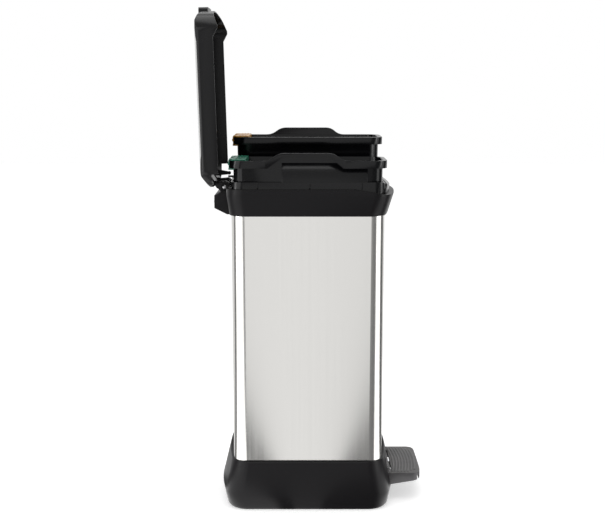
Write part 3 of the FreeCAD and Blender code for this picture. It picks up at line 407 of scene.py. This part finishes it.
def softened(node: str, finish: Finish, width: float, body: str,
             segments: int = 3) -> bpy.types.Object:
    """A copy of a CAD node with its sharp edges rounded, which stands for the node.

    Args:
        node: the CAD node.
        finish: its finish.
        width: width of the rounded edge in metres.
        body: the CAD body that it moves with.
        segments: steps of the rounding.

    Returns:
        The new object.
    """
    mesh = frame["nodes"][node].data.copy()
    mesh.name = f"{node}_moulded"
    work = bmesh.new()
    work.from_mesh(mesh)
    bmesh.ops.remove_doubles(work, verts=work.verts, dist=2e-6)
    bmesh.ops.dissolve_limit(work, angle_limit=math.radians(0.5), verts=work.verts,
                             edges=work.edges)
    work.to_mesh(mesh)
    work.free()
    mesh.materials.clear()
    mesh.materials.append(material_of(finish))
    piece = bpy.data.objects.new(f"{node}_moulded", mesh)
    bpy.context.scene.collection.objects.link(piece)
    bevel = piece.modifiers.new("rounded_edges", "BEVEL")
    bevel.width = width
    bevel.segments = segments
    bevel.limit_method = "ANGLE"
    bevel.angle_limit = math.radians(35.0)
    bevel.use_clamp_overlap = True
    bevel.harden_normals = True
    mesh.polygons.foreach_set("use_smooth", np.full(len(mesh.polygons), True))
    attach(piece, body)
    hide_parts(node)
    log.info("moulded %s: edges rounded by %.1f mm", node, width / MM)
    return piece


# ---- studio ----------------------------------------------------------------------------------

@dataclass
class Studio:
    """Pale floor and backdrop, soft lights, and the camera level with the collar.

    Attributes:
        distance: from the camera to the object's middle plane.
        height: of the camera above the floor.
        shift_y: of the camera towards the hinge.
        pitch: degrees that it looks down.
        lens: focal length on a 36 mm sensor.
        bands: degrees from -X, plus towards +Y, and the light that reflections see there.
            The first and last of the ramp stand first.
        paper_glow: light that the floor gives off, which blends it into the surround.
        zenith: light straight above, and rise the heights between which the bands fade to it.
    """

    distance: float = 2.2
    height: float = 0.880
    shift_y: float = 0.011
    pitch: float = 9.55
    lens: float = 62.36
    bands: tuple[tuple[float, float], ...] = (
        (-180.0, 0.80), (180.0, 0.80), (-128.0, 0.80), (-116.0, 0.12), (-92.0, 0.12),
        (-84.0, 1.7), (-54.0, 1.7), (-44.0, 0.16), (-14.0, 0.22), (-9.0, 0.84), (9.0, 0.88),
        (14.0, 0.20), (19.0, 0.22), (27.0, 1.7), (78.0, 1.7), (88.0, 0.12), (100.0, 0.14),
        (112.0, 0.80),
    )
    paper_glow: float = 0.45
    zenith: float = 0.55
    rise: tuple[float, float] = (0.25, 0.75)

    def build(self) -> None:
        """Makes the camera, the world, the stage and the lights."""
        self.camera()
        self.world()
        self.stage()
        self.lights()

    def camera(self) -> None:
        """A camera to -X that looks along +X and slightly down."""
        data = bpy.data.cameras.new("camera")
        data.lens = self.lens
        data.sensor_width = 36.0
        data.clip_end = 60.0
        camera = bpy.data.objects.new("camera", data)
        camera.location = (-self.distance, self.shift_y, self.height)
        camera.rotation_euler = (math.radians(90.0 - self.pitch), 0.0, math.radians(-90.0))
        bpy.context.scene.collection.objects.link(camera)
        bpy.context.scene.camera = camera

    def banded(self, tree: bpy.types.NodeTree, direction) -> bpy.types.NodeSocket:
        """Light and shade in upright bands round Z, for reflections to see.

        The angle, 0 at -X and rising towards +Y, runs over a ramp that holds the bands.

        Args:
            tree: the node tree that it goes in.
            direction: vector socket to take the angle of.

        Returns:
            The colour's output socket.
        """
        split = tree.nodes.new("ShaderNodeSeparateXYZ")
        tree.links.new(direction, split.inputs["Vector"])
        ahead = math_node(tree, "MULTIPLY", split.outputs["X"], -1.0)
        turn = math_node(tree, "ARCTAN2", split.outputs["Y"], ahead)
        share = math_node(tree, "DIVIDE", turn, 2 * math.pi)
        bands = tree.nodes.new("ShaderNodeValToRGB")
        bands.color_ramp.interpolation = "EASE"
        stops = bands.color_ramp.elements
        for index, (angle, light) in enumerate(self.bands):
            place = angle / 360.0 + 0.5
            stop = stops[index] if index < 2 else stops.new(place)
            stop.position = place
            stop.color = (light, light, light, 1.0)
        tree.links.new(math_node(tree, "ADD", share, 0.5), bands.inputs["Fac"])
        return bands.outputs["Color"]

    def world(self) -> None:
        """A surround that is white to the camera and banded to everything else."""
        world = bpy.data.worlds.new("studio")
        world.use_nodes = True
        tree = world.node_tree
        place = tree.nodes.new("ShaderNodeTexCoord").outputs["Generated"]
        split = tree.nodes.new("ShaderNodeSeparateXYZ")
        tree.links.new(place, split.inputs["Vector"])
        lit = tree.nodes.new("ShaderNodeMix")
        lit.data_type = "RGBA"
        tree.links.new(ramp(tree, split.outputs["Z"], *self.rise), lit.inputs["Factor"])
        tree.links.new(self.banded(tree, place), lit.inputs["A"])
        lit.inputs["B"].default_value = (self.zenith, self.zenith, self.zenith, 1.0)
        seen = tree.nodes.new("ShaderNodeMix")
        seen.data_type = "RGBA"
        rays = tree.nodes.new("ShaderNodeLightPath")
        tree.links.new(rays.outputs["Is Camera Ray"], seen.inputs["Factor"])
        tree.links.new(lit.outputs["Result"], seen.inputs["A"])
        seen.inputs["B"].default_value = (1.0, 1.0, 1.0, 1.0)
        tree.links.new(seen.outputs["Result"], tree.nodes["Background"].inputs["Color"])
        bpy.context.scene.world = world
        bpy.context.scene.view_settings.view_transform = "Standard"

    def stage(self) -> None:
        """A large pale floor just under the object, with the bands in its reflections."""
        half = 9.0
        mesh = bpy.data.meshes.new("floor")
        corners = [(-half, -half, 0.0), (half, -half, 0.0), (half, half, 0.0), (-half, half, 0.0)]
        mesh.from_pydata(corners, [], [(0, 1, 2, 3)])
        floor = bpy.data.objects.new("floor", mesh)
        floor.location.z = -0.0005
        bpy.context.scene.collection.objects.link(floor)
        material = bpy.data.materials.new("floor_paper")
        material.use_nodes = True
        tree = material.node_tree
        shader = tree.nodes["Principled BSDF"]
        shader.inputs["Base Color"].default_value = (0.92, 0.92, 0.92, 1.0)
        shader.inputs["Roughness"].default_value = 0.9
        shader.inputs["Emission Color"].default_value = (1.0, 1.0, 1.0, 1.0)
        shader.inputs["Emission Strength"].default_value = self.paper_glow
        mirrored = tree.nodes.new("ShaderNodeEmission")
        spot = tree.nodes.new("ShaderNodeNewGeometry").outputs["Position"]
        tree.links.new(self.banded(tree, spot), mirrored.inputs["Color"])
        rays = tree.nodes.new("ShaderNodeLightPath")
        chosen = tree.nodes.new("ShaderNodeMixShader")
        tree.links.new(rays.outputs["Is Glossy Ray"], chosen.inputs["Fac"])
        tree.links.new(shader.outputs["BSDF"], chosen.inputs[1])
        tree.links.new(mirrored.outputs["Emission"], chosen.inputs[2])
        tree.links.new(chosen.outputs["Shader"],
                       tree.nodes["Material Output"].inputs["Surface"])
        mesh.materials.append(material)

    def lights(self) -> None:
        """A high soft box, and tall strips that draw the upright highlights."""
        self.area("top_box", (0.0, 0.0, 2.6), (0.0, 0.0, 0.4), (2.0, 2.0), 22.0)
        self.area("front_strip", (-1.3, -2.4, 0.9), (0.0, -0.1, 0.5), (0.35, 1.8), 9.0)
        self.area("rear_strip", (-1.2, 2.5, 0.9), (0.0, 0.1, 0.5), (0.35, 1.8), 9.0)

    def area(self, name: str, spot: Sequence[float], target: Sequence[float],
             size: Sequence[float], power: float) -> None:
        """A rectangular light at spot that faces target.

        Args:
            name: the light's name.
            spot: where it stands.
            target: the point that it faces.
            size: width and height.
            power: watts.
        """
        data = bpy.data.lights.new(name, "AREA")
        data.shape = "RECTANGLE"
        data.size, data.size_y = size
        data.energy = power
        light = bpy.data.objects.new(name, data)
        light.location = spot
        facing = Vector(target) - Vector(spot)
        light.rotation_euler = facing.to_track_quat("-Z", "Y").to_euler()
        bpy.context.scene.collection.objects.link(light)


# ---- dressing the CAD ------------------------------------------------------------------------

@dataclass
class Casing:
    """The CAD nodes' finishes and the mouldings whose edges are rounded.

    Attributes:
        rounded: node, finish, edge width in metres and body of each rounded moulding.
    """

    rounded: tuple = (
        ("collar", SATIN_BLACK, 0.0016, "bin_body"),
        ("base_shell", BASE_BLACK, 0.0010, "bin_body"),
        ("rim_liner", GLOSS_BLACK, 0.0008, "bin_body"),
        ("hinge_bracket", SATIN_BLACK, 0.0010, "bin_body"),
        ("lid_frame", LID_BLACK, 0.0010, "lid"),
        ("bucket_near", GLOSS_BLACK, 0.0007, "near_bucket"),
        ("bucket_far", GLOSS_BLACK, 0.0007, "far_bucket"),
        ("pedal_tongue", PEDAL_GREY, 0.0012, "pedal"),
        ("pedal_pad", PEDAL_GREY, 0.0016, "pedal"),
    )

    def build(self) -> None:
        """Gives every CAD node its finish, then rounds the main mouldings."""
        for name, item in frame["nodes"].items():
            finish = NODE_FINISH.get(name, PLAIN_STEEL)
            item.data.materials.clear()
            item.data.materials.append(material_of(finish))
        for node, finish, width, body in self.rounded:
            softened(node, finish, width, body)


# ---- profiles --------------------------------------------------------------------------------

def filleted(corners: Sequence[Sequence[float]], radius: float, steps: int = 5) -> np.ndarray:
    """Rounds every corner of a closed flat outline by an arc tangent to its two sides.

    Each arc starts and ends radius / tan(half the corner's angle) from the corner, capped at
    0.45 of the shorter side, which makes a sharper arc. Its points turn evenly about its centre.

    Args:
        corners: the outline's corners in order.
        radius: the arcs' radius.
        steps: spans of each arc.

    Returns:
        The rounded outline, one point each row.
    """
    points = np.asarray(corners, float)
    before = np.roll(points, 1, 0) - points
    after = np.roll(points, -1, 0) - points
    long_before = np.linalg.norm(before, axis=1, keepdims=True)
    long_after = np.linalg.norm(after, axis=1, keepdims=True)
    before, after = before / long_before, after / long_after
    cosine = np.clip((before * after).sum(1, keepdims=True), -0.999, 0.999)
    half = np.arccos(cosine) / 2
    reach = np.minimum(radius / np.tan(half), 0.45 * np.minimum(long_before, long_after))
    middle = before + after
    middle /= np.maximum(np.linalg.norm(middle, axis=1, keepdims=True), 1e-9)
    centre = points + middle * reach / np.cos(half)
    start = (points + before * reach - centre)[:, None]
    end = (points + after * reach - centre)[:, None]
    turn = np.maximum(math.pi - 2 * half, 1e-4)[:, None]
    share = np.linspace(0.0, 1.0, steps + 1)[None, :, None]
    arcs = (np.sin((1 - share) * turn) * start + np.sin(share * turn) * end) / np.sin(turn)
    curve = centre[:, None] + arcs
    return curve.reshape(-1, 2)


def swept_x(name: str, outline: np.ndarray, low: float, high: float, edge: float,
            finish: Finish, body: str) -> bpy.types.Object:
    """Carries a closed YZ outline from low to high along X, its two ends rounded off.

    Within an edge of each end the outline is scaled about its middle, so that its farthest
    point draws in by edge * (1 - sin a) while the position moves by edge * (1 - cos a).

    Args:
        name: the piece's name.
        outline: the closed outline, y and z in each row.
        low: lowest x.
        high: highest x.
        edge: radius of the rounded ends.
        finish: its finish.
        body: the CAD body that it moves with.

    Returns:
        The new object.
    """
    middle = outline.mean(0)
    size = np.abs(outline - middle).max()
    angle = np.linspace(0.0, math.pi / 2, 5)
    inset = edge * (1 - np.sin(angle))
    along = edge * (1 - np.cos(angle))
    places = np.concatenate([low + along, (high - along)[::-1]])
    shrink = 1 - np.concatenate([inset, inset[::-1]]) / size
    flat = middle + (outline - middle) * shrink[:, None, None]
    rings = np.empty((len(places), len(outline), 3))
    rings[..., 0] = places[:, None]
    rings[..., 1:] = flat
    return loft(name, rings, finish, body)


def lathe(name: str, profile: np.ndarray, centre: Sequence[float], axis: int, finish: Finish,
          body: str, around: int = 28) -> bpy.types.Object:
    """Turns (radius, distance) rows about a row axis through centre, and closes the ends.

    Args:
        name: the piece's name.
        profile: radius and distance along the axis, one row each.
        centre: a point on the axis, where the distance is zero.
        axis: 0, 1 or 2 for X, Y or Z.
        finish: its finish.
        body: the CAD body that it moves with.
        around: points round each ring.

    Returns:
        The new object.
    """
    angle = np.linspace(0.0, 2 * math.pi, around, endpoint=False)
    rings = np.empty((len(profile), around, 3))
    first, second = [index for index in range(3) if index != axis]
    rings[..., axis] = centre[axis] + profile[:, 1:]
    rings[..., first] = centre[first] + profile[:, :1] * np.cos(angle)
    rings[..., second] = centre[second] + profile[:, :1] * np.sin(angle)
    return loft(name, rings, finish, body)


# ---- pedal -----------------------------------------------------------------------------------

@dataclass
class PedalTread:
    """Grip ribs over the pedal pad and over the tongue between it and the base, drawn in a lighter
    grey than the pad: painted highlight.

    Attributes:
        pitch: from rib to rib.
        width: of a rib.
        height: of a rib over the pad.
        sink: depth of its foot in the pad.
        bow: radius of the ribs' curve in plan.
        margin: plain border of the pad.
    """

    pitch: float = 0.0066
    width: float = 0.0036
    height: float = 0.0011
    sink: float = 0.0006
    bow: float = 0.42
    margin: float = 0.0065

    def build(self) -> None:
        """Lays ribs on the pad from front to back, then on the tongue."""
        low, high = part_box("pedal_pad")
        tongue_low, tongue_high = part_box("pedal_tongue")
        gap = tongue_high.x + 0.003
        rows = int((high.y - low.y - 0.0045 - 2 * self.margin) / self.pitch) + 1
        for row in range(rows):
            y = low.y + 0.0045 + self.margin + row * self.pitch
            reach = high.x - self.margin - max(0.0, 0.012 - 0.006 * row)
            if y < tongue_low.y - 0.003 - self.width:
                self.rib(f"pad_rib_{row}", y, -reach, reach, high.z)
                continue
            for side, word in ((-1, "left"), (1, "right")):
                ends = sorted((side * (gap + self.margin / 2), side * reach))
                self.rib(f"pad_rib_{row}_{word}", y, *ends, high.z)
        for row in range(int((tongue_high.y - tongue_low.y) / self.pitch)):
            y = tongue_low.y + self.pitch * (row + 0.6)
            reach = tongue_high.x - self.margin
            self.rib(f"tongue_rib_{row}", y, -reach, reach, tongue_high.z)

    def rib(self, name: str, y: float, low: float, high: float, top: float) -> None:
        """One rib, a half-ellipse over a sunk foot whose middle follows y + x^2 / (2 bow).

        Args:
            name: the piece's name.
            y: place of its middle at x = 0.
            low: its lowest x.
            high: its highest x.
            top: height of the surface that it stands on.
        """
        along = np.linspace(low, high, 25)
        taper = np.clip(np.minimum(along - low, high - along) / (1.5 * self.height), 0.0, 1.0)
        taper = 0.15 + 0.85 * np.sqrt(taper)
        turn = np.linspace(0.0, math.pi, 7)
        across = np.concatenate([np.cos(turn) * self.width / 2,
                                 [-self.width / 2, self.width / 2]])
        rise = np.concatenate([np.sin(turn) * self.height, [-self.sink, -self.sink]])
        rings = np.empty((len(along), len(across), 3))
        rings[..., 0] = along[:, None]
        rings[..., 1] = y + (along ** 2 / (2 * self.bow))[:, None] + across
        rings[..., 2] = top + np.where(rise > 0, rise * taper[:, None], rise)
        # The ribs take the lighter copy of the pedal grey: a painted highlight.
        loft(name, rings, PEDAL_RIB_PAINTED_HIGHLIGHT, "pedal")


# ---- buckets, clips and liner ----------------------------------------------------------------

@dataclass
class BagClip:
    """A springy clip that holds a bag over the bucket's rear rim.

    Attributes:
        node: the CAD clip that it stands for.
        body: the bucket's body.
        finish: its finish.
        sheet: wall of the clip.
        wrap: how far its rear lip reaches back past the plate.
        deep: how far the lip's foot lies under the plate's top.
        soften: radius of the plate's corners.
        ridges: how many finger ridges there are.
        ridge_pitch: from ridge to ridge, and plain length at each end of a ridge.
        ridge_width: width of a ridge.
        lip_spans: where the lips run, as shares of the clip's length.
    """

    node: str
    body: str
    finish: Finish
    sheet: float = 0.0025
    wrap: float = 0.0062
    deep: float = 0.0215
    soften: float = 0.0011
    ridges: int = 3
    ridge_pitch: float = 0.006
    ridge_width: float = 0.0022
    lip_spans: tuple[tuple[float, float], ...] = ((0.10, 0.36), (0.64, 0.90))

    def build(self) -> None:
        """The plate with its tail, two lips behind the rim and the finger ridges."""
        low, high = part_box(self.node)
        sheet = self.sheet
        plate = filleted([
            (low.y, low.z), (low.y + sheet, low.z), (low.y + sheet, high.z - sheet),
            (high.y, high.z - sheet), (high.y, high.z), (low.y, high.z),
        ], self.soften)
        clip = swept_x(f"{self.node}_moulded", plate, low.x, high.x, 0.0012, self.finish,
                       self.body)
        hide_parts(self.node)
        rear = high.y + self.wrap
        foot = high.z - self.deep
        grip = filleted([
            (high.y - 0.004, high.z + 0.0006), (rear - 0.002, high.z + 0.0006),
            (rear, high.z - 0.003), (rear, high.z - 0.006), (rear + 0.0012, high.z - 0.0075),
            (rear + 0.0012, high.z - 0.011), (rear - 0.0006, high.z - 0.0125),
            (rear - 0.0006, foot + 0.0035), (rear + 0.0002, foot + 0.002), (rear, foot),
            (rear - 0.012, foot), (rear - 0.0125, foot + 0.0022),
            (rear - 0.0026, foot + 0.0030), (rear - 0.0030, high.z - 0.0050),
            (high.y - 0.004, high.z - 0.0018),
        ], 0.0012)
        span = high.x - low.x
        for index, (start, end) in enumerate(self.lip_spans):
            swept_x(f"{self.node}_lip_{index}", grip, low.x + start * span,
                    low.x + end * span, 0.0010, self.finish, self.body)
        for index in range(self.ridges):
            y = low.y + self.ridge_pitch * (index + 1)
            back = y + self.ridge_width
            foot, top = high.z - 0.0004, high.z + 0.0009
            ridge = filleted([(y, foot), (back, foot), (back, top), (y, top)], 0.0006)
            swept_x(f"{self.node}_ridge_{index}", ridge, low.x + self.ridge_pitch,
                    high.x - self.ridge_pitch, 0.0006, self.finish, self.body)


@dataclass
class BucketMould:
    """The raised middle panel on a bucket's outer long side.

    Attributes:
        node: the CAD bucket.
        body: the bucket's body.
        side: -1 or 1, the side of its outer face.
        step: y of the panel's rear edge.
        front: y of the panel's front edge.
        proud: how far the panel stands out.
        sink: depth of its foot in the wall.
        skirt: depth of the rim's band.
        overhang: how far the rim stands out past the wall below it.
        draft: how far the wall draws in on its way down.
        edge: width of the panel's slanting edges.
    """

    node: str
    body: str
    side: int
    step: float = 0.052
    front: float = -0.118
    proud: float = 0.0005
    sink: float = 0.0008
    skirt: float = 0.015
    overhang: float = 0.0072
    draft: float = 0.006
    edge: float = 0.0016

    def build(self) -> None:
        """A thin plate that lies along the drafted wall, below the rim's band."""
        low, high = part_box(self.node)
        rim = high.z - self.skirt
        height = np.linspace(rim - 0.0045, low.z + 0.010, 12)
        share = (rim - height) / (rim - low.z)
        wall = abs(high.x if self.side > 0 else low.x) - self.overhang - self.draft * share
        rings = np.empty((len(height), 8, 3))
        half = (self.step - self.front) / 2
        middle = (self.step + self.front) / 2
        inside, outside = -self.sink, self.proud
        edge = self.edge
        turn = np.array([
            (half, inside), (half, outside * 0.2), (half - edge / 2, outside * 0.8),
            (half - edge, outside), (-half + edge, outside),
            (-half + edge / 2, outside * 0.8), (-half, outside * 0.2), (-half, inside),
        ])
        rings[..., 0] = self.side * (wall[:, None] + turn[:, 1])
        rings[..., 1] = middle + turn[:, 0]
        rings[..., 2] = height[:, None]
        loft(f"{self.node}_panel", rings, GLOSS_BLACK, self.body)


@dataclass
class LinerRibs:
    """Short upright ribs on the liner's long sides, where it snaps into the collar.

    Attributes:
        places: y of each rib.
        width: of a rib.
        proud: how far a rib stands out.
        inset: from the collar's side to the liner's face.
    """

    places: tuple[float, ...] = (0.100, -0.0035, -0.107)
    width: float = 0.0024
    proud: float = 0.0007
    inset: float = 0.014

    def build(self) -> None:
        """One rib at each place on both sides."""
        liner_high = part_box("rim_liner")[1]
        collar_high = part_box("collar")[1]
        side_x = collar_high.x - self.inset
        for side, word in ((-1, "near"), (1, "far")):
            for index, y in enumerate(self.places):
                outline = filleted([
                    (y - self.width / 2, collar_high.z - 0.0005),
                    (y + self.width / 2, collar_high.z - 0.0005),
                    (y + self.width / 2, liner_high.z - 0.001),
                    (y - self.width / 2, liner_high.z - 0.001),
                ], 0.0008)
                ends = sorted((side * (side_x - 0.001), side * (side_x + self.proud)))
                swept_x(f"liner_rib_{word}_{index}", outline, *ends, 0.0003, GLOSS_BLACK,
                        "bin_body")


# ---- lid -------------------------------------------------------------------------------------

@dataclass
class LidRibs:
    """Stiffening ribs under the lid's dome.

    Attributes:
        crown: top of the arc that the ribs follow, over the hinge axis when shut; the
            dome's own is 0.8 mm higher, so the ribs hang just clear of it.
        bow: radius of that arc across the lid.
        wall: of the lid.
        deep: depth of a rib.
        thick: thickness of a rib.
        axis: a point on the hinge axis.
        turn: angle from shut to the rest pose.
        nose: distance from the axis where the front falls away, its run and its fall.
        nape: distance from the axis where the rear falls away, its run and its fall.
        crest_drop: how far the level stretch lies under the crown.
        along: half the spread of the ribs along the lid, and where they start and end.
        across: half the length of the ribs across the lid, and the first and last place.
    """

    crown: float = 0.0490
    bow: float = 0.900
    wall: float = 0.0025
    deep: float = 0.0060
    thick: float = 0.0018
    nose: tuple[float, float, float] = (0.200, 0.156, 0.0070)
    nape: tuple[float, float, float] = (0.065, 0.020, 0.0050)
    crest_drop: float = 0.0010
    along: tuple[float, float, float] = (0.1, 0.045, 0.315)
    across: tuple[float, float, float] = (0.122, 0.065, 0.300)
    axis: Vector = field(default_factory=lambda: Vector(
        next(j for j in frame["joints"] if j["name"] == "lid_swing")["pos_m"]))
    turn: float = field(default_factory=lambda: math.radians(
        next(j for j in frame["joints"] if j["name"] == "lid_swing")["range_deg"][1]))

    def arch(self, x: np.ndarray) -> np.ndarray:
        """Height across the lid that the ribs follow: an arc that falls from the crown."""
        return self.crown - (self.bow - np.sqrt(self.bow ** 2 - x ** 2))

    def crest(self, reach: np.ndarray) -> np.ndarray:
        """Height along the lid that the ribs follow: level between the nape and the nose,
        falling as a square towards the front and in a straight slope towards the rear.
        """
        nose_start, nose_run, nose_fall = self.nose
        nape_start, nape_run, nape_fall = self.nape
        front = np.clip((reach - nose_start) / nose_run, 0.0, None)
        rear = np.clip((nape_start - reach) / nape_run, 0.0, None)
        return self.crown - self.crest_drop - nose_fall * front ** 2 - nape_fall * rear

    def opened(self, points: np.ndarray) -> np.ndarray:
        """Turns points drawn shut, (x, reach, height) from the axis, to the open lid."""
        out = np.empty_like(points)
        out[..., 0] = points[..., 0]
        out[..., 1] = self.axis.y + math.sin(self.turn) * points[..., 2] \
            - math.cos(self.turn) * points[..., 1]
        out[..., 2] = self.axis.z + math.sin(self.turn) * points[..., 1] \
            + math.cos(self.turn) * points[..., 2]
        return out

    def build(self) -> None:
        """Five ribs along the lid and six across it."""
        spread, start, end = self.along
        for index, x in enumerate(np.linspace(-spread, spread, 5)):
            reach = np.linspace(start, end, 40)
            self.rib(f"lid_rib_along_{index}", np.full_like(reach, x), reach, along=True)
        half, first, last = self.across
        for index, place in enumerate(np.linspace(first, last, 6)):
            x = np.linspace(-half, half, 40)
            self.rib(f"lid_rib_across_{index}", x, np.full_like(x, place), along=False)

    def rib(self, name: str, x: np.ndarray, reach: np.ndarray, along: bool) -> None:
        """A thin plate that follows the dome from inside, its foot deep below its top.

        Args:
            name: the piece's name.
            x: places across the lid.
            reach: distances from the hinge axis.
            along: true for a rib along the lid.
        """
        top = np.minimum(self.arch(x), self.crest(reach)) - self.wall + 0.0003
        half = self.thick / 2
        side = np.array([-half, half, half, -half])
        rise = np.array([0.0, 0.0, 1.0, 1.0])
        rings = np.empty((len(x), 4, 3))
        rings[..., 0] = x[:, None] + (side if along else 0.0)
        rings[..., 1] = reach[:, None] + (0.0 if along else side)
        rings[..., 2] = (top - self.deep)[:, None] + rise * self.deep
        loft(name, self.opened(rings), LID_BLACK, "lid")


# ---- screws and seams ------------------------------------------------------------------------

@dataclass
class Fixings:
    """Cross-head screws in the hinge bracket, pin caps and the sleeve's rear seam; each screw's
    cross is dark bars of painted shade where the recess would be.

    Attributes:
        head: from the end of the screws' box to the middle of a head.
        slot: width of the cross's bars.
        reach: length of the cross's bars.
    """

    head: float = 0.0036
    slot: float = 0.0009
    reach: float = 0.0042

    def build(self) -> None:
        """Screw heads with a dark cross of painted shade, two pin caps and the folded seam."""
        low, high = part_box("hinge_screws")
        for side, x in (("left", low.x + self.head), ("right", high.x - self.head)):
            z = (low.z + high.z) / 2
            profile = np.array([[0.0, 0.0006], [0.0022, 0.0005], [0.0034, 0.0001],
                                [0.0037, -0.0006], [0.0036, -0.0012], [0.0, -0.0012]])
            profile[:, 0] = np.maximum(profile[:, 0], 1e-5)
            lathe(f"bracket_screw_head_{side}", profile, (x, high.y, z), 1, PLAIN_STEEL,
                  "bin_body")
            # Each cross is two dark bars standing just proud of the head: painted shade in place
            # of a recessed cross.
            for name, wide, tall in (("flat", self.reach, self.slot),
                                     ("upright", self.slot, self.reach)):
                bar = filleted([(high.y, z - tall / 2), (high.y + 0.0009, z - tall / 2),
                                (high.y + 0.0009, z + tall / 2), (high.y, z + tall / 2)],
                               0.0002, 2)
                swept_x(f"screw_cross_{name}_{side}", bar, x - wide / 2, x + wide / 2, 0.0001,
                        SCREW_RECESS_PAINTED_SHADE, "bin_body")
        pin_low, pin_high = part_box("hinge_pins")
        y, z = (pin_low.y + pin_high.y) / 2, (pin_low.z + pin_high.z) / 2
        cap = np.array([[1e-5, 0.0012], [0.0030, 0.0010], [0.0043, 0.0004], [0.0045, 0.0],
                        [1e-5, 0.0]])
        for side, word in ((-1, "left"), (1, "right")):
            profile = cap * np.array([1.0, side])
            lathe(f"pin_cap_{word}", profile, (side * pin_high.x, y, z), 0, PLAIN_STEEL,
                  "bin_body")
        seam_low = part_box("base_shell")[1].z - 0.006
        seam_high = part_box("collar")[0].z + 0.002
        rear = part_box("body_sleeve")[1].y
        height = np.array([seam_low, seam_high])
        outline = filleted([(-0.0045, -0.0003), (0.0045, -0.0003), (0.0045, 0.0007),
                            (-0.0045, 0.0007)], 0.0005)
        rings = np.empty((2, len(outline), 3))
        rings[..., 0] = outline[:, 0]
        rings[..., 1] = rear + outline[:, 1]
        rings[..., 2] = height[:, None]
        loft("sleeve_seam", rings, SLEEVE_STEEL, "bin_body")


def main() -> None:
    """Builds the finishes, the studio and the pieces in order."""
    logging.basicConfig(level=logging.INFO, format="%(message)s")
    for build in (build_grain, build_brushed, build_dust, build_scuff):
        build()
    for finish in FINISHES:
        finish.build()
    Studio().build()
    assemblies = (
        Casing(), BucketMould("bucket_near", "near_bucket", -1),
        BucketMould("bucket_far", "far_bucket", 1),
        PedalTread(), LinerRibs(), LidRibs(), Fixings(),
        BagClip("clip_green", "near_bucket", GREEN_CLIP),
        BagClip("clip_orange", "far_bucket", ORANGE_CLIP),
    )
    for assembly in assemblies:
        assembly.build()


if __name__ == "__main__":
    main()
